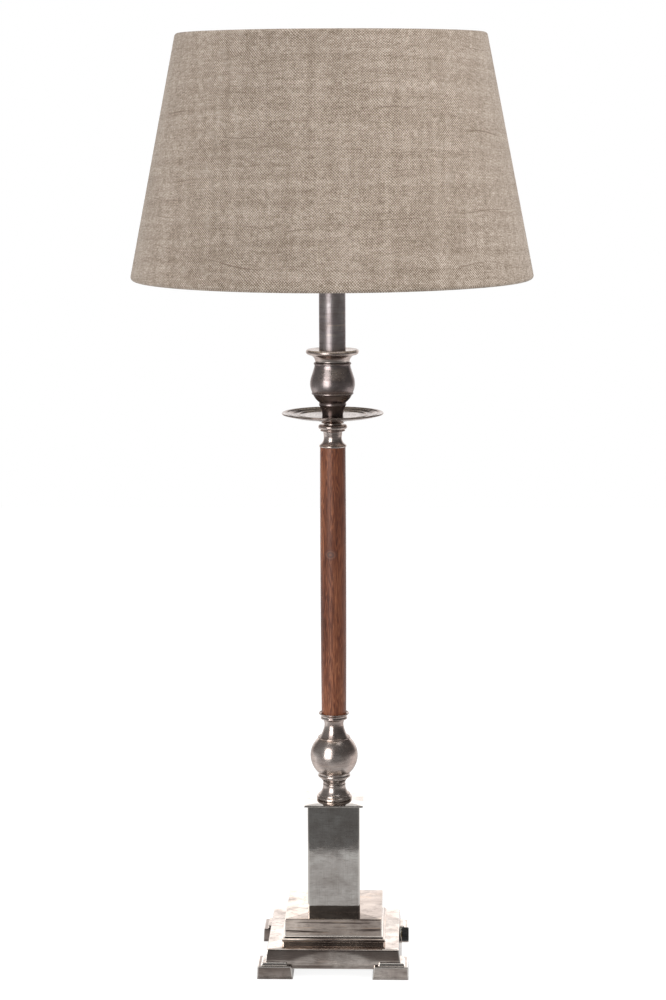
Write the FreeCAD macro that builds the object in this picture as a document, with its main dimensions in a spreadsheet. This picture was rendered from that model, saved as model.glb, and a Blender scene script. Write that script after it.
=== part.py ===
import FreeCAD, Part

import math
import os

import Sketcher

# Candlestick table lamp with a tapered linen shade, in millimetres.
# The origin is on the table under the middle of the square foot, +Z is up,
# the photographed front faces -Y and the switch knob is on the +X side.

OUT = "parts"
SHEET = "Sizes"

# Driving dimensions: alias, value, meaning.
DRIVING = [
    ("felt_drop", 0.3, "how far the felt pads hold the feet off the table"),
    ("felt_radius", 9, "felt pad"),
    ("foot_half", 57.4, "half width over the feet at the bottom"),
    ("foot_inner", 30.1, "inner side of a foot from the middle"),
    ("foot_top", 10, "height of the top edge of a foot"),
    ("step_top", 12, "height of the small step on a foot"),
    ("apron_bottom", 6.7, "lower edge of the wall between the feet"),
    ("apron_half", 52.1, "half width of the lower tier at its lower edge"),
    ("tier_half", 50, "half width of the lower tier at its top"),
    ("tier_top", 21.3, "top of the lower tier"),
    ("tier_roof", 3, "thickness of the lower tier's roof"),
    ("tier_hollow", 47.5, "half width of the hollow in the lower tier"),
    ("block_half", 36.8, "half width of the middle tier"),
    ("block_lip", 39.6, "half width of the lip of the middle tier"),
    ("block_top", 41, "top of the middle tier"),
    ("block_hollow", 33.6, "half width of the hollow in the middle tier"),
    ("column_half", 20, "half width of the square column"),
    ("column_wall", 1.6, "wall of the column"),
    ("column_top", 124.6, "top of the column"),
    ("cap_half", 22.6, "half width of the cap plate"),
    ("cap_top", 126, "top of the cap plate"),
    ("rod_radius", 5, "outside of the threaded tie rod"),
    ("rod_bore", 3.5, "bore of the tie rod"),
    ("rod_bottom", 12.9, "lower end of the tie rod"),
    ("rod_top", 561, "upper end of the tie rod"),
    ("core", 5.3, "bore of every piece strung on the tie rod"),
    ("waist_z", 138.2, "waist between the knop foot and the ball"),
    ("ball_radius", 18.15, "ball of the knop"),
    ("ball_z", 160.4, "centre of the ball"),
    ("neck_z", 175.2, "top of the ball knop"),
    ("lip_z", 194, "rim of the lower ferrule"),
    ("wood_bottom", 192.2, "shoulder at the lower end of the wooden rod"),
    ("wood_top", 399.6, "upper end of the wooden rod"),
    ("wood_spigot", 6.6, "spigot of the wooden rod in the lower ferrule"),
    ("wood_foot_radius", 9.45, "wooden rod at its lower end"),
    ("wood_head_radius", 9.65, "wooden rod at its upper end"),
    ("ring_z", 415, "middle of the thick ring on the upper ferrule"),
    ("ferrule_top", 421.2, "top of the upper ferrule"),
    ("pan_radius", 38.5, "drip pan"),
    ("pan_rim_z", 425.7, "top edge of the drip pan"),
    ("pan_floor_z", 424, "middle of the drip pan"),
    ("urn_radius", 17.3, "belly of the urn knop"),
    ("urn_belly_z", 447.2, "height of the belly"),
    ("urn_top", 463.8, "top of the urn knop"),
    ("flange_radius", 20, "flange of the candle socket"),
    ("flange_top", 473.5, "top of that flange"),
    ("tube_radius", 9.95, "candle tube"),
    ("tube_wall", 1, "wall of the candle tube"),
    ("tube_top", 550, "top of the candle tube"),
    ("holder_radius", 19.5, "threaded skirt of the lampholder"),
    ("holder_seat", 574, "shoulder that the shade carrier rests on"),
    ("holder_top", 606, "mouth of the lampholder"),
    ("bulb_radius", 30, "bulb"),
    ("bulb_z", 657.5, "middle of the round part of the bulb"),
    ("shade_foot_radius", 147.5, "lower wire ring of the shade"),
    ("shade_foot_z", 529, "height of the lower wire ring"),
    ("shade_head_radius", 112.7, "upper wire ring of the shade"),
    ("shade_head_z", 704.5, "height of the upper wire ring"),
    ("shade_wire", 1.5, "radius of the wire of both rings"),
    ("liner_thickness", 0.4, "shade liner"),
    ("linen_thickness", 0.7, "linen cover"),
    ("knob_radius", 5.4, "switch knob"),
    ("knob_length", 5.5, "switch knob"),
    ("knob_back", 51.9, "back of the switch knob from the middle"),
    ("switch_y", 9, "switch axis, off the middle towards the rear"),
    ("switch_z", 14, "height of the switch axis"),
    ("inlet_radius", 3.2, "bore of the cord inlet"),
    ("inlet_z", 13.1, "height of the cord inlet"),
    ("lead_radius", 0.95, "insulated lead"),
]

doc = FreeCAD.newDocument("CandlestickLamp")
sheet = doc.addObject("Spreadsheet::Sheet", SHEET)
for row, (alias, value, meaning) in enumerate(DRIVING, start=1):
    sheet.set(f"A{row}", meaning)
    sheet.set(f"B{row}", str(value))
    sheet.setAlias(f"B{row}", alias)
doc.recompute()


class Size:
    """A length that knows its value and the sheet formula it comes from."""

    def __init__(self, value, formula):
        self.value = float(value)
        self.formula = formula

    def __add__(self, other):
        other = as_size(other)
        return Size(self.value + other.value, f"({self.formula} + {other.formula})")

    def __sub__(self, other):
        other = as_size(other)
        return Size(self.value - other.value, f"({self.formula} - {other.formula})")

    def __mul__(self, factor):
        factor = as_size(factor)
        return Size(self.value * factor.value, f"({self.formula} * {factor.formula})")

    def __truediv__(self, divisor):
        divisor = as_size(divisor)
        return Size(self.value / divisor.value, f"({self.formula} / {divisor.formula})")

    def __neg__(self):
        return Size(-self.value, f"(0 - {self.formula})")

    __radd__ = __add__
    __rmul__ = __mul__

    def __rsub__(self, other):
        return as_size(other) - self


def as_size(number):
    if isinstance(number, Size):
        return number
    return Size(number, f"({number:.6g})")


class Sheet:
    """The driving dimensions by name."""

    def __getattr__(self, alias):
        return Size(sheet.get(alias), f"{SHEET}.{alias}")


d = Sheet()
subparts = {}


def keep(label, piece):
    """Name a finished sub-part and list it for export."""
    piece.Label = label
    subparts[label] = piece
    return piece


# ---------------------------------------------------------------- sketches

def origin_plane(body, role):
    return next(feature for feature in body.Origin.OriginFeatures if feature.Role == role)


def new_sketch(body, role, offset=0):
    """A sketch on one of the body's own origin planes, moved along the plane's normal."""
    sketch = body.newObject("Sketcher::SketchObject", "Outline")
    sketch.AttachmentSupport = [(origin_plane(body, role), "")]
    sketch.MapMode = "FlatFace"
    offset = as_size(offset)
    sketch.AttachmentOffset = FreeCAD.Placement(FreeCAD.Vector(0, 0, offset.value), FreeCAD.Rotation())
    sketch.setExpression("AttachmentOffset.Base.z", offset.formula)
    return sketch


def bind(sketch, kind, where, size):
    """Add a driving constraint and tie it to the sheet."""
    index = sketch.addConstraint(Sketcher.Constraint(kind, *where, size.value))
    sketch.setExpression(f"Constraints[{index}]", size.formula)


def pin(sketch, edge, end, x, y):
    """Fix a point of the sketch at x, y from the sketch's origin."""
    for kind, axis, size in (("DistanceX", -2, x), ("DistanceY", -1, y)):
        if abs(size.value) < 1e-9:
            sketch.addConstraint(Sketcher.Constraint("PointOnObject", edge, end, axis))
        elif size.value > 0:
            bind(sketch, kind, (-1, 1, edge, end), size)
        else:
            bind(sketch, kind, (edge, end, -1, 1), -size)


def draw_path(sketch, corners, closed=False):
    """Lines and arcs through the corners.

    A corner is (x, y), or (x, y, radius) where an arc leads to it. The arc of a positive radius
    swells to the right of the way, so on an outline that runs anticlockwise it is convex.
    """
    corners = [tuple(as_size(number) for number in corner) for corner in corners]
    first = 0 if closed else 1
    ends = []
    for index in range(first, len(corners)):
        (x0, y0), (x1, y1) = corners[index - 1][:2], corners[index][:2]
        start = FreeCAD.Vector(x0.value, y0.value, 0)
        finish = FreeCAD.Vector(x1.value, y1.value, 0)
        if len(corners[index]) == 2:
            edge = sketch.addGeometry(Part.LineSegment(start, finish))
            ends.append((edge, 1, 2))
            continue
        radius = corners[index][2]
        chord = finish - start
        sagitta = abs(radius.value) - math.sqrt(radius.value ** 2 - (chord.Length / 2) ** 2)
        right = FreeCAD.Vector(chord.y, -chord.x, 0).normalize()
        middle = (start + finish) / 2 + right * math.copysign(sagitta, radius.value)
        edge = sketch.addGeometry(Part.Arc(start, middle, finish))
        begins = 1 if sketch.getPoint(edge, 1).distanceToPoint(start) < 1e-6 else 2
        ends.append((edge, begins, 3 - begins))
        size = radius if radius.value > 0 else -radius
        bind(sketch, "Radius", (edge,), size)
    for (edge, begins, stops), corner in zip(ends, corners[first:]):
        pin(sketch, edge, stops, *corner[:2])
    if not closed:
        pin(sketch, ends[0][0], ends[0][1], *corners[0][:2])
    pairs = zip(ends, ends[1:] + ends[:1]) if closed else zip(ends, ends[1:])
    for (edge, begins, stops), (next_edge, next_begins, next_stops) in pairs:
        sketch.addConstraint(Sketcher.Constraint("Coincident", edge, stops, next_edge, next_begins))


def draw_circle(sketch, x, y, radius):
    x, y, radius = as_size(x), as_size(y), as_size(radius)
    centre = FreeCAD.Vector(x.value, y.value, 0)
    edge = sketch.addGeometry(Part.Circle(centre, FreeCAD.Vector(0, 0, 1), radius.value))
    bind(sketch, "Radius", (edge,), radius)
    pin(sketch, edge, 3, x, y)


# ---------------------------------------------------------------- solids

def new_body(name):
    return doc.addObject("PartDesign::Body", name)


def revolve(body, corners):
    """Turn an outline, given as radius and height, about the Z axis."""
    sketch = new_sketch(body, "XZ_Plane")
    draw_path(sketch, corners, closed=True)
    turn = body.newObject("PartDesign::Revolution", "Turned")
    turn.Profile = sketch
    turn.ReferenceAxis = (sketch, ["V_Axis"])
    turn.Angle = 360
    return turn


def turned(name, corners):
    body = new_body(name)
    revolve(body, corners)
    return body


def pad(body, sketch, length, symmetric=False):
    feature = body.newObject("PartDesign::Pad", "Pad")
    feature.Profile = sketch
    feature.SideType = "Symmetric" if symmetric else "One side"
    feature.setExpression("Length", as_size(length).formula)
    return feature


def prism(name, corners, bottom, top):
    """An outline in plan, between two heights."""
    body = new_body(name)
    sketch = new_sketch(body, "XY_Plane", bottom)
    draw_path(sketch, corners, closed=True)
    pad(body, sketch, as_size(top) - bottom)
    return body


def square_corners(half):
    return [(-half, -half), (half, -half), (half, half), (-half, half)]


def box(name, half, bottom, top):
    """A square block about the Z axis."""
    return prism(name, square_corners(as_size(half)), bottom, top)


def mirrored(side):
    """The closed outline made by the right side of a section, bottom to top, and its mirror image."""
    side = [tuple(as_size(number) for number in corner) for corner in side]
    left = []
    for index in range(len(side) - 1, -1, -1):
        x, y = side[index][:2]
        radius = side[index + 1][2:] if index + 1 < len(side) else ()
        left.append((-x, y) + radius)
    return side + left


def square_moulding(name, outlines, reach):
    """A moulding run round a square with mitred corners.

    The same section, padded along Y and along X, and what the two have in common.
    """
    runs = []
    for role in ("XZ_Plane", "YZ_Plane"):
        body = new_body(name + "_run")
        sketch = new_sketch(body, role)
        for outline in outlines:
            draw_path(sketch, outline, closed=True)
        pad(body, sketch, as_size(reach) * 2, symmetric=True)
        runs.append(body)
    moulding = doc.addObject("Part::Common", name)
    moulding.Base, moulding.Tool = runs
    return moulding


def bar(name, radius, start, length, direction=(0, 0, 1)):
    """A round bar from a point along a direction."""
    body = new_body(name)
    sketch = new_sketch(body, "XY_Plane")
    draw_circle(sketch, 0, 0, radius)
    pad(body, sketch, length)
    place(body, start, FreeCAD.Rotation(FreeCAD.Vector(0, 0, 1), FreeCAD.Vector(*direction)))
    return body


def place(piece, where, rotation=None):
    """Set a piece's placement from sizes of the sheet."""
    where = [as_size(number) for number in where]
    base = FreeCAD.Vector(*[number.value for number in where])
    piece.Placement = FreeCAD.Placement(base, rotation or FreeCAD.Rotation())
    for axis, number in zip("xyz", where):
        piece.setExpression(f"Placement.Base.{axis}", number.formula)


def fuse(name, shapes):
    feature = doc.addObject("Part::MultiFuse", name)
    feature.Shapes = shapes
    feature.Refine = True
    return feature


def cut(name, base, tools):
    feature = doc.addObject("Part::Cut", name)
    feature.Base = base
    feature.Tool = tools[0] if len(tools) == 1 else fuse(name + "_tools", tools)
    feature.Refine = True
    return feature


def group(name, pieces):
    """Several separate solids in one sub-part."""
    compound = doc.addObject("Part::Compound", name)
    compound.Links = pieces
    return compound


def round_corners(name, base, edges, radius):
    """Round the edges that a test picks out."""
    doc.recompute()
    picked = [number for number, edge in enumerate(base.Shape.Edges, start=1) if edges(edge)]
    feature = doc.addObject("Part::Fillet", name)
    feature.Base = base
    feature.Edges = [(number, radius, radius) for number in picked]
    return feature


def is_upright(edge):
    box_of_edge = edge.BoundBox
    return box_of_edge.ZLength > 10 * (box_of_edge.XLength + box_of_edge.YLength)


def four_ways(x, y):
    """The four places that mirror x, y about both axes."""
    return [(sign_x * as_size(x), sign_y * as_size(y)) for sign_x in (1, -1) for sign_y in (1, -1)]


# ---------------------------------------------------------------- the foot

BOSS_X, BOSS_Y = 24, 39            # bosses for the screws of the bottom cover
BOSS_RADIUS = 3.6
PILOT_RADIUS = 1.6
COVER_THICKNESS = 1.2
FELT_SEAT = 1.0                    # depth of a felt pad's recess
FELT_CLEARANCE = 0.15
SPOT_FACE_X = 50.4                 # flat milled in the wall for the switch nut
BUSHING_RADIUS = 3.5
BUSHING_HOLE = 3.6
INLET_HOLE = 4.2                   # hole in the rear wall for the rubber bushing


def foot_plinth():
    """Square lower tier, cast in one with its four stepped feet and hollow from below."""
    roof_bottom = d.tier_top - d.tier_roof
    wall = square_moulding("Tier", [mirrored([
        (d.apron_half, d.apron_bottom),
        (d.tier_half + 0.17, d.tier_top - 1.2),
        (d.tier_half - 1.0, d.tier_top, 1.3),
    ])], d.foot_half)
    shell = cut("Shell", wall, [box("Hollow", d.tier_hollow, 0, roof_bottom)])
    foot = [
        (d.foot_inner, d.felt_drop),
        (d.foot_half, d.felt_drop),
        (d.foot_half - 0.4, d.foot_top - 0.5),
        (d.foot_half - 0.9, d.foot_top, 0.55),
        (d.foot_half - 3.2, d.foot_top),
        (d.foot_half - 3.5, d.step_top - 0.4),
        (d.foot_half - 3.9, d.step_top, 0.5),
        (d.foot_inner + 5.0, d.step_top),
        (d.foot_inner + 4.6, d.foot_top),
        (d.foot_inner + 1.9, d.foot_top),
        (d.foot_inner + 1.3, d.foot_top - 0.6, 0.6),
    ]
    # the mirrored outline runs the other way round, so its arcs swell to the other side
    far_foot = [(-as_size(x), y) + tuple(-as_size(radius) for radius in arc) for x, y, *arc in foot]
    feet = square_moulding("Feet", [foot, far_foot], d.foot_half + 1)
    bosses = [
        bar("Boss", BOSS_RADIUS, (x, y, d.apron_bottom + COVER_THICKNESS),
            roof_bottom - d.apron_bottom - COVER_THICKNESS + 1)
        for x, y in four_ways(BOSS_X, BOSS_Y)
    ]
    solid = fuse("Casting", [shell, feet] + bosses)
    pad_place = (d.foot_half + d.foot_inner) / 2
    recesses = [
        bar("Recess", d.felt_radius + FELT_CLEARANCE, (x, y, -1), d.felt_drop + FELT_SEAT + 1)
        for x, y in four_ways(pad_place, pad_place)
    ]
    pilots = [bar("Pilot", PILOT_RADIUS, (x, y, 0), 16) for x, y in four_ways(BOSS_X, BOSS_Y)]
    holes = [
        bar("Rod_hole", d.core, (0, 0, 0), d.tier_top + 10),
        bar("Bushing_hole", BUSHING_HOLE, (40, d.switch_y, d.switch_z), 20, (1, 0, 0)),
        bar("Spot_face", d.knob_radius + 0.6, (SPOT_FACE_X, d.switch_y, d.switch_z), 10, (1, 0, 0)),
        bar("Inlet_hole", INLET_HOLE, (0, 40, d.inlet_z), 20, (0, 1, 0)),
        bar("Earth_hole", 1.5, (-20, 24, roof_bottom - 1), 2.6),
    ]
    keep("foot_plinth", cut("FootPlinth", solid, recesses + pilots + holes))
    felts = [
        bar("Felt", d.felt_radius, (x, y, 0), d.felt_drop + FELT_SEAT)
        for x, y in four_ways(pad_place, pad_place)
    ]
    keep("felt_pads", group("FeltPads", felts))


def bottom_cover():
    """Cross-shaped steel plate that closes the hollow between the feet, and its four screws."""
    arm = d.foot_inner - 0.8
    reach = d.tier_hollow - 0.4
    outline = [
        (arm, -reach), (arm, -arm), (reach, -arm), (reach, arm), (arm, arm), (arm, reach),
        (-arm, reach), (-arm, arm), (-reach, arm), (-reach, -arm), (-arm, -arm), (-arm, -reach),
    ]
    plate = prism("Plate", outline, d.apron_bottom, d.apron_bottom + COVER_THICKNESS)
    holes = [bar("Hole", 1.7, (x, y, 0), 20) for x, y in four_ways(BOSS_X, BOSS_Y)]
    keep("bottom_cover", cut("BottomCover", plate, holes))
    screws = []
    for x, y in four_ways(BOSS_X, BOSS_Y):
        screw = turned("Screw", [
            (0, -1.0), (1.0, -1.0), (1.0, -1.8), (2.3, -1.8), (2.8, -1.0, 0.9),
            (2.8, 0), (1.5, 0), (1.5, 6.4), (0.9, 7.2), (0, 7.2),
        ])
        place(screw, (x, y, d.apron_bottom))
        screws.append(screw)
    keep("cover_screws", group("CoverScrews", screws))


def middle_plinth():
    """Smaller tier: a lip, a cove and a plain block, hollow from below, and the ballast in it."""
    section = mirrored([
        (d.block_lip - 1.2, d.tier_top),
        (d.block_lip - 1.2, d.tier_top + 2.0),
        (d.block_lip - 0.5, d.tier_top + 2.5),
        (d.block_lip - 0.5, d.tier_top + 4.2, 0.95),
        (d.block_half + 0.8, d.tier_top + 6.0, -3.2),
        (d.block_half + 0.2, d.tier_top + 6.4),
        (d.block_half, d.block_top - 0.6),
        (d.block_half - 0.6, d.block_top, 0.6),
    ])
    block = square_moulding("Block", [section], d.block_lip + 1)
    hollow = box("Hollow", d.block_hollow, 0, d.block_top - 3)
    bore = bar("Bore", d.core, (0, 0, 0), d.block_top + 10)
    keep("middle_plinth", cut("MiddlePlinth", block, [hollow, bore]))
    iron = box("Iron", d.block_hollow - 0.4, d.tier_top + 0.05, d.block_top - 3.3)
    keep("ballast_weight", cut("Ballast", iron, [bar("Bore", 6.5, (0, 0, 0), d.block_top)]))


def column():
    """Square tube and the thin plate that caps it."""
    outer = round_corners("Tube", box("TubeBlank", d.column_half, d.block_top, d.column_top), is_upright, 0.7)
    bore = box("TubeBore", d.column_half - d.column_wall, 0, d.column_top + 10)
    keep("column_tube", cut("Column", outer, [bore]))
    plate = square_moulding("Plate", [mirrored([
        (d.cap_half - 0.3, d.column_top),
        (d.cap_half, d.column_top + 0.3, 0.35),
        (d.cap_half, d.cap_top - 0.4),
        (d.cap_half - 0.4, d.cap_top, 0.45),
    ])], d.cap_half + 1)
    tongue = box("Tongue", d.column_half - d.column_wall - 0.2, d.column_top - 3, d.column_top + 0.5)
    blank = fuse("CapBlank", [plate, tongue])
    keep("column_cap", cut("ColumnCap", blank, [bar("Bore", d.core, (0, 0, 0), d.cap_top + 10)]))


# ---------------------------------------------------------------- the stem

def knop_foot():
    """Two beads and a cone that narrows to the waist."""
    base = d.cap_top
    keep("knop_foot", turned("KnopFoot", [
        (d.core, base), (12.9, base), (12.5, base + 2.5, 1.35), (12.0, base + 2.9),
        (12.0, base + 4.1, 0.8), (11.2, base + 4.4), (8.55, d.waist_z - 1.4, -9),
        (8.55, d.waist_z, 0.9), (d.core, d.waist_z),
    ]))


def ball_knop():
    """Ball between two thin beads, on a short cone."""
    edge = 12.3
    reach = 13.35                     # from the ball's centre to where the beads start
    keep("ball_knop", turned("BallKnop", [
        (d.core, d.waist_z), (8.3, d.waist_z), (10.4, d.ball_z - 17.9, -9), (10.5, d.ball_z - 17.0),
        (11.6, d.ball_z - 17.0), (12.2, d.ball_z - 15.2, 1.1), (11.7, d.ball_z - 14.6),
        (edge, d.ball_z - reach), (edge, d.ball_z + reach, d.ball_radius),
        (12.1, d.neck_z - 1.3), (12.1, d.neck_z, 0.75), (d.core, d.neck_z),
    ]))


def lower_ferrule():
    """Cone, waist and double rim; the wooden rod stands in its cup."""
    cup = d.wood_foot_radius + 0.1
    socket = d.wood_spigot + 0.1
    keep("lower_ferrule", turned("LowerFerrule", [
        (d.core, d.neck_z), (10.7, d.neck_z), (7.3, d.neck_z + 8.9, -24), (8.2, d.neck_z + 13.2, -7),
        (9.4, d.neck_z + 13.7), (9.9, d.neck_z + 15.5, 1.1), (9.6, d.neck_z + 15.9),
        (11.3, d.lip_z - 1.0, -3), (11.4, d.lip_z - 0.1, 0.5), (cup, d.lip_z - 0.8),
        (cup, d.wood_bottom), (socket, d.wood_bottom), (socket, d.wood_bottom - 3.1),
        (d.core, d.wood_bottom - 3.1),
    ]))


def wood_rod():
    """Turned rod with a slight entasis, bored for the tie rod."""
    foot = d.wood_spigot
    socket = 7.1
    keep("wood_rod", turned("WoodRod", [
        (d.core, d.wood_bottom - 3), (foot, d.wood_bottom - 3), (foot, d.wood_bottom),
        (d.wood_foot_radius, d.wood_bottom), (d.wood_head_radius, d.wood_top, 16000),
        (socket, d.wood_top), (socket, d.wood_top - 3.1), (d.core, d.wood_top - 3.1),
    ]))


def upper_ferrule():
    """Flange on the wood, neck, thin ring, thick ring and a bell under the drip pan."""
    flange = d.wood_top
    keep("upper_ferrule", turned("UpperFerrule", [
        (d.core, flange - 3), (7.0, flange - 3), (7.0, flange), (9.9, flange), (9.8, flange + 1.7, 0.95),
        (8.9, flange + 2.3), (6.95, d.ring_z - 6.5, -7), (7.2, d.ring_z - 4.2),
        (9.2, d.ring_z - 3.2, -2.4), (9.2, d.ring_z - 2.5, 0.38), (8.5, d.ring_z - 2.0),
        (9.9, d.ring_z - 1.6), (9.9, d.ring_z + 1.6, 1.75), (6.7, d.ring_z + 1.9),
        (6.7, d.ring_z + 2.5), (8.8, d.ring_z + 3.2), (6.4, d.ferrule_top - 0.6, -4),
        (6.4, d.ferrule_top), (d.core, d.ferrule_top),
    ]))


def drip_pan():
    """Thin spun saucer with concentric steps."""
    rim, floor = d.pan_rim_z, d.pan_floor_z
    keep("drip_pan", turned("DripPan", [
        (d.core, d.ferrule_top), (12, d.ferrule_top), (22, d.ferrule_top + 0.3),
        (d.pan_radius - 0.3, rim - 1.0, 60), (d.pan_radius - 0.5, rim, 0.6),
        (33.8, rim - 0.3), (32.6, floor + 0.8, 1.4), (26.2, floor + 0.7), (25.2, floor, 1.0),
        (d.core, floor),
    ]))


def urn_knop():
    """Urn-shaped knop with a bead round its belly's lower edge and one at the top."""
    foot, belly = d.pan_floor_z, d.urn_belly_z
    keep("urn_knop", turned("UrnKnop", [
        (d.core, foot), (7.9, foot), (9.6, foot + 6.6, -16), (10.0, foot + 8.9, 1.6),
        (10.2, foot + 9.7), (14.7, foot + 15.2, 14), (15.3, foot + 15.6), (15.4, foot + 17.1, 0.85),
        (d.urn_radius - 1.0, belly + 6.3, 14.2), (13.5, d.urn_top - 1.9, -26),
        (13.5, d.urn_top - 0.1, 0.95), (12.6, d.urn_top), (d.core, d.urn_top),
    ]))


def candle_socket():
    """Trumpet-shaped cup with a rounded flange, the candle tube in it and the plug on top."""
    seat = d.flange_top - 2
    wall = d.tube_radius - d.tube_wall
    keep("candle_cup", turned("CandleCup", [
        (d.core, d.urn_top), (12.4, d.urn_top), (13.1, d.urn_top + 0.5),
        (d.flange_radius - 1.8, d.urn_top + 5.8, -5.4), (d.flange_radius - 1.2, d.urn_top + 6.1),
        (d.flange_radius - 1.1, d.flange_top - 0.1, 1.95),
        (d.tube_radius + 0.1, d.flange_top - 0.5), (d.tube_radius + 0.1, seat), (d.core, seat),
    ]))
    keep("candle_tube", turned("CandleTube", [
        (wall, seat), (d.tube_radius, seat), (d.tube_radius, d.tube_top), (wall, d.tube_top),
    ]))
    keep("tube_plug", turned("TubePlug", [
        (d.core, d.tube_top - 4), (wall - 0.1, d.tube_top - 4), (wall - 0.1, d.tube_top),
        (d.tube_radius, d.tube_top), (d.tube_radius, d.tube_top + 1.5, 0.9), (d.core, d.tube_top + 1.5),
    ]))


NUT_ACROSS = 14                    # across the flats of the tie rod's nuts
NUT_HEIGHT = 3


def hexagon(across):
    """Corners of a regular hexagon with two flats parallel to X."""
    radius = across / math.sqrt(3)
    turns = [math.radians(60 * step) for step in range(6)]
    return [(radius * math.cos(turn), radius * math.sin(turn)) for turn in turns]


def tie_rod():
    """Threaded tube through the whole stem, with a nut at each end and a washer under the roof."""
    keep("tie_rod", turned("TieRod", [
        (d.rod_bore, d.rod_bottom), (d.rod_radius, d.rod_bottom),
        (d.rod_radius, d.rod_top), (d.rod_bore, d.rod_top),
    ]))
    roof_bottom = d.tier_top - d.tier_roof
    nuts = []
    for bottom in (roof_bottom - 1.4 - NUT_HEIGHT, d.tube_top + 1.5):
        blank = prism("Nut", hexagon(NUT_ACROSS), bottom, bottom + NUT_HEIGHT)
        nuts.append(cut("NutBored", blank, [bar("Thread", d.rod_radius + 0.05, (0, 0, 0), d.rod_top)]))
    keep("rod_nuts", group("RodNuts", nuts))
    keep("rod_washer", turned("RodWasher", [
        (d.core, roof_bottom - 1.4), (13, roof_bottom - 1.4), (13, roof_bottom), (d.core, roof_bottom),
    ]))


# ---------------------------------------------------------------- lampholder and bulb

SHELL_INNER = 13.5                 # inside of the lampholder's screw shell
SHELL_OUTER = 14.1
CARRIER_THICKNESS = 1.2
CARRIER_CLEARANCE = 0.05           # the carrier turns on the holder with this much play


def lampholder():
    """Two-part holder with a threaded skirt, its ceramic insert, screw shell and contacts."""
    seat, top, radius = d.holder_seat, d.holder_top, d.holder_radius
    bottom = d.tube_top + 1.5 + NUT_HEIGHT + 0.2
    keep("holder_cap", turned("HolderCap", [
        (d.rod_radius + 0.05, bottom), (8.6, bottom), (8.6, bottom + 3), (radius - 0.9, seat - 7.4, -10),
        (radius - 0.9, seat - 3), (radius - 2.5, seat - 3), (radius - 2.5, seat - 7.0),
        (7.0, bottom + 4.6, 9), (d.rod_radius + 0.05, bottom + 4.6),
    ]))
    keep("holder_body", turned("HolderBody", [
        (radius - 2.5, seat - 3), (22.5, seat - 3), (22.5, seat), (radius, seat), (radius, top - 0.6),
        (radius - 0.6, top), (SHELL_OUTER + 0.4, top), (SHELL_OUTER + 0.4, top - 2),
        (radius - 1.9, top - 2), (radius - 1.9, seat + 0.5), (radius - 2.5, seat + 0.5),
    ]))
    insert = turned("Insert", [
        (0, seat - 1.5), (radius - 2.6, seat - 1.5), (radius - 2.6, seat + 6), (SHELL_OUTER + 0.8, seat + 6),
        (SHELL_OUTER + 0.8, seat + 9), (SHELL_INNER - 3, seat + 9), (SHELL_INNER - 3, seat + 6), (0, seat + 6),
    ])
    slots = [bar("Slot", 1.3, (x, 0, seat - 2), 10) for x in (9, -9)]
    keep("holder_insert", cut("HolderInsert", insert, slots))
    keep("screw_shell", turned("ScrewShell", [
        (SHELL_INNER - 2.5, seat + 9.05), (SHELL_OUTER, seat + 9.05), (SHELL_OUTER, top - 2.6),
        (SHELL_INNER, top - 2.6), (SHELL_INNER, seat + 9.6), (SHELL_INNER - 2.5, seat + 9.6),
    ]))
    spring = new_body("Spring")
    sketch = new_sketch(spring, "XZ_Plane")
    draw_path(sketch, [
        (7.5, seat + 6), (9.6, seat + 6), (9.6, seat + 6.5), (7.6, seat + 6.5), (1.5, seat + 8.8),
        (-2.6, seat + 8.8), (-2.6, seat + 8.4), (1.3, seat + 8.4),
    ], closed=True)
    pad(spring, sketch, 4, symmetric=True)
    keep("centre_contact", spring)
    side = new_body("SideContact")
    sketch = new_sketch(side, "XZ_Plane")
    draw_path(sketch, [
        (-10.2, seat + 6), (-9.8, seat + 6), (-7.6, seat + 6), (-7.6, seat + 6.4), (-9.8, seat + 6.4),
        (-9.8, seat + 9), (-10.2, seat + 9),
    ], closed=True)
    pad(side, sketch, 4, symmetric=True)
    keep("side_contact", side)


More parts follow.
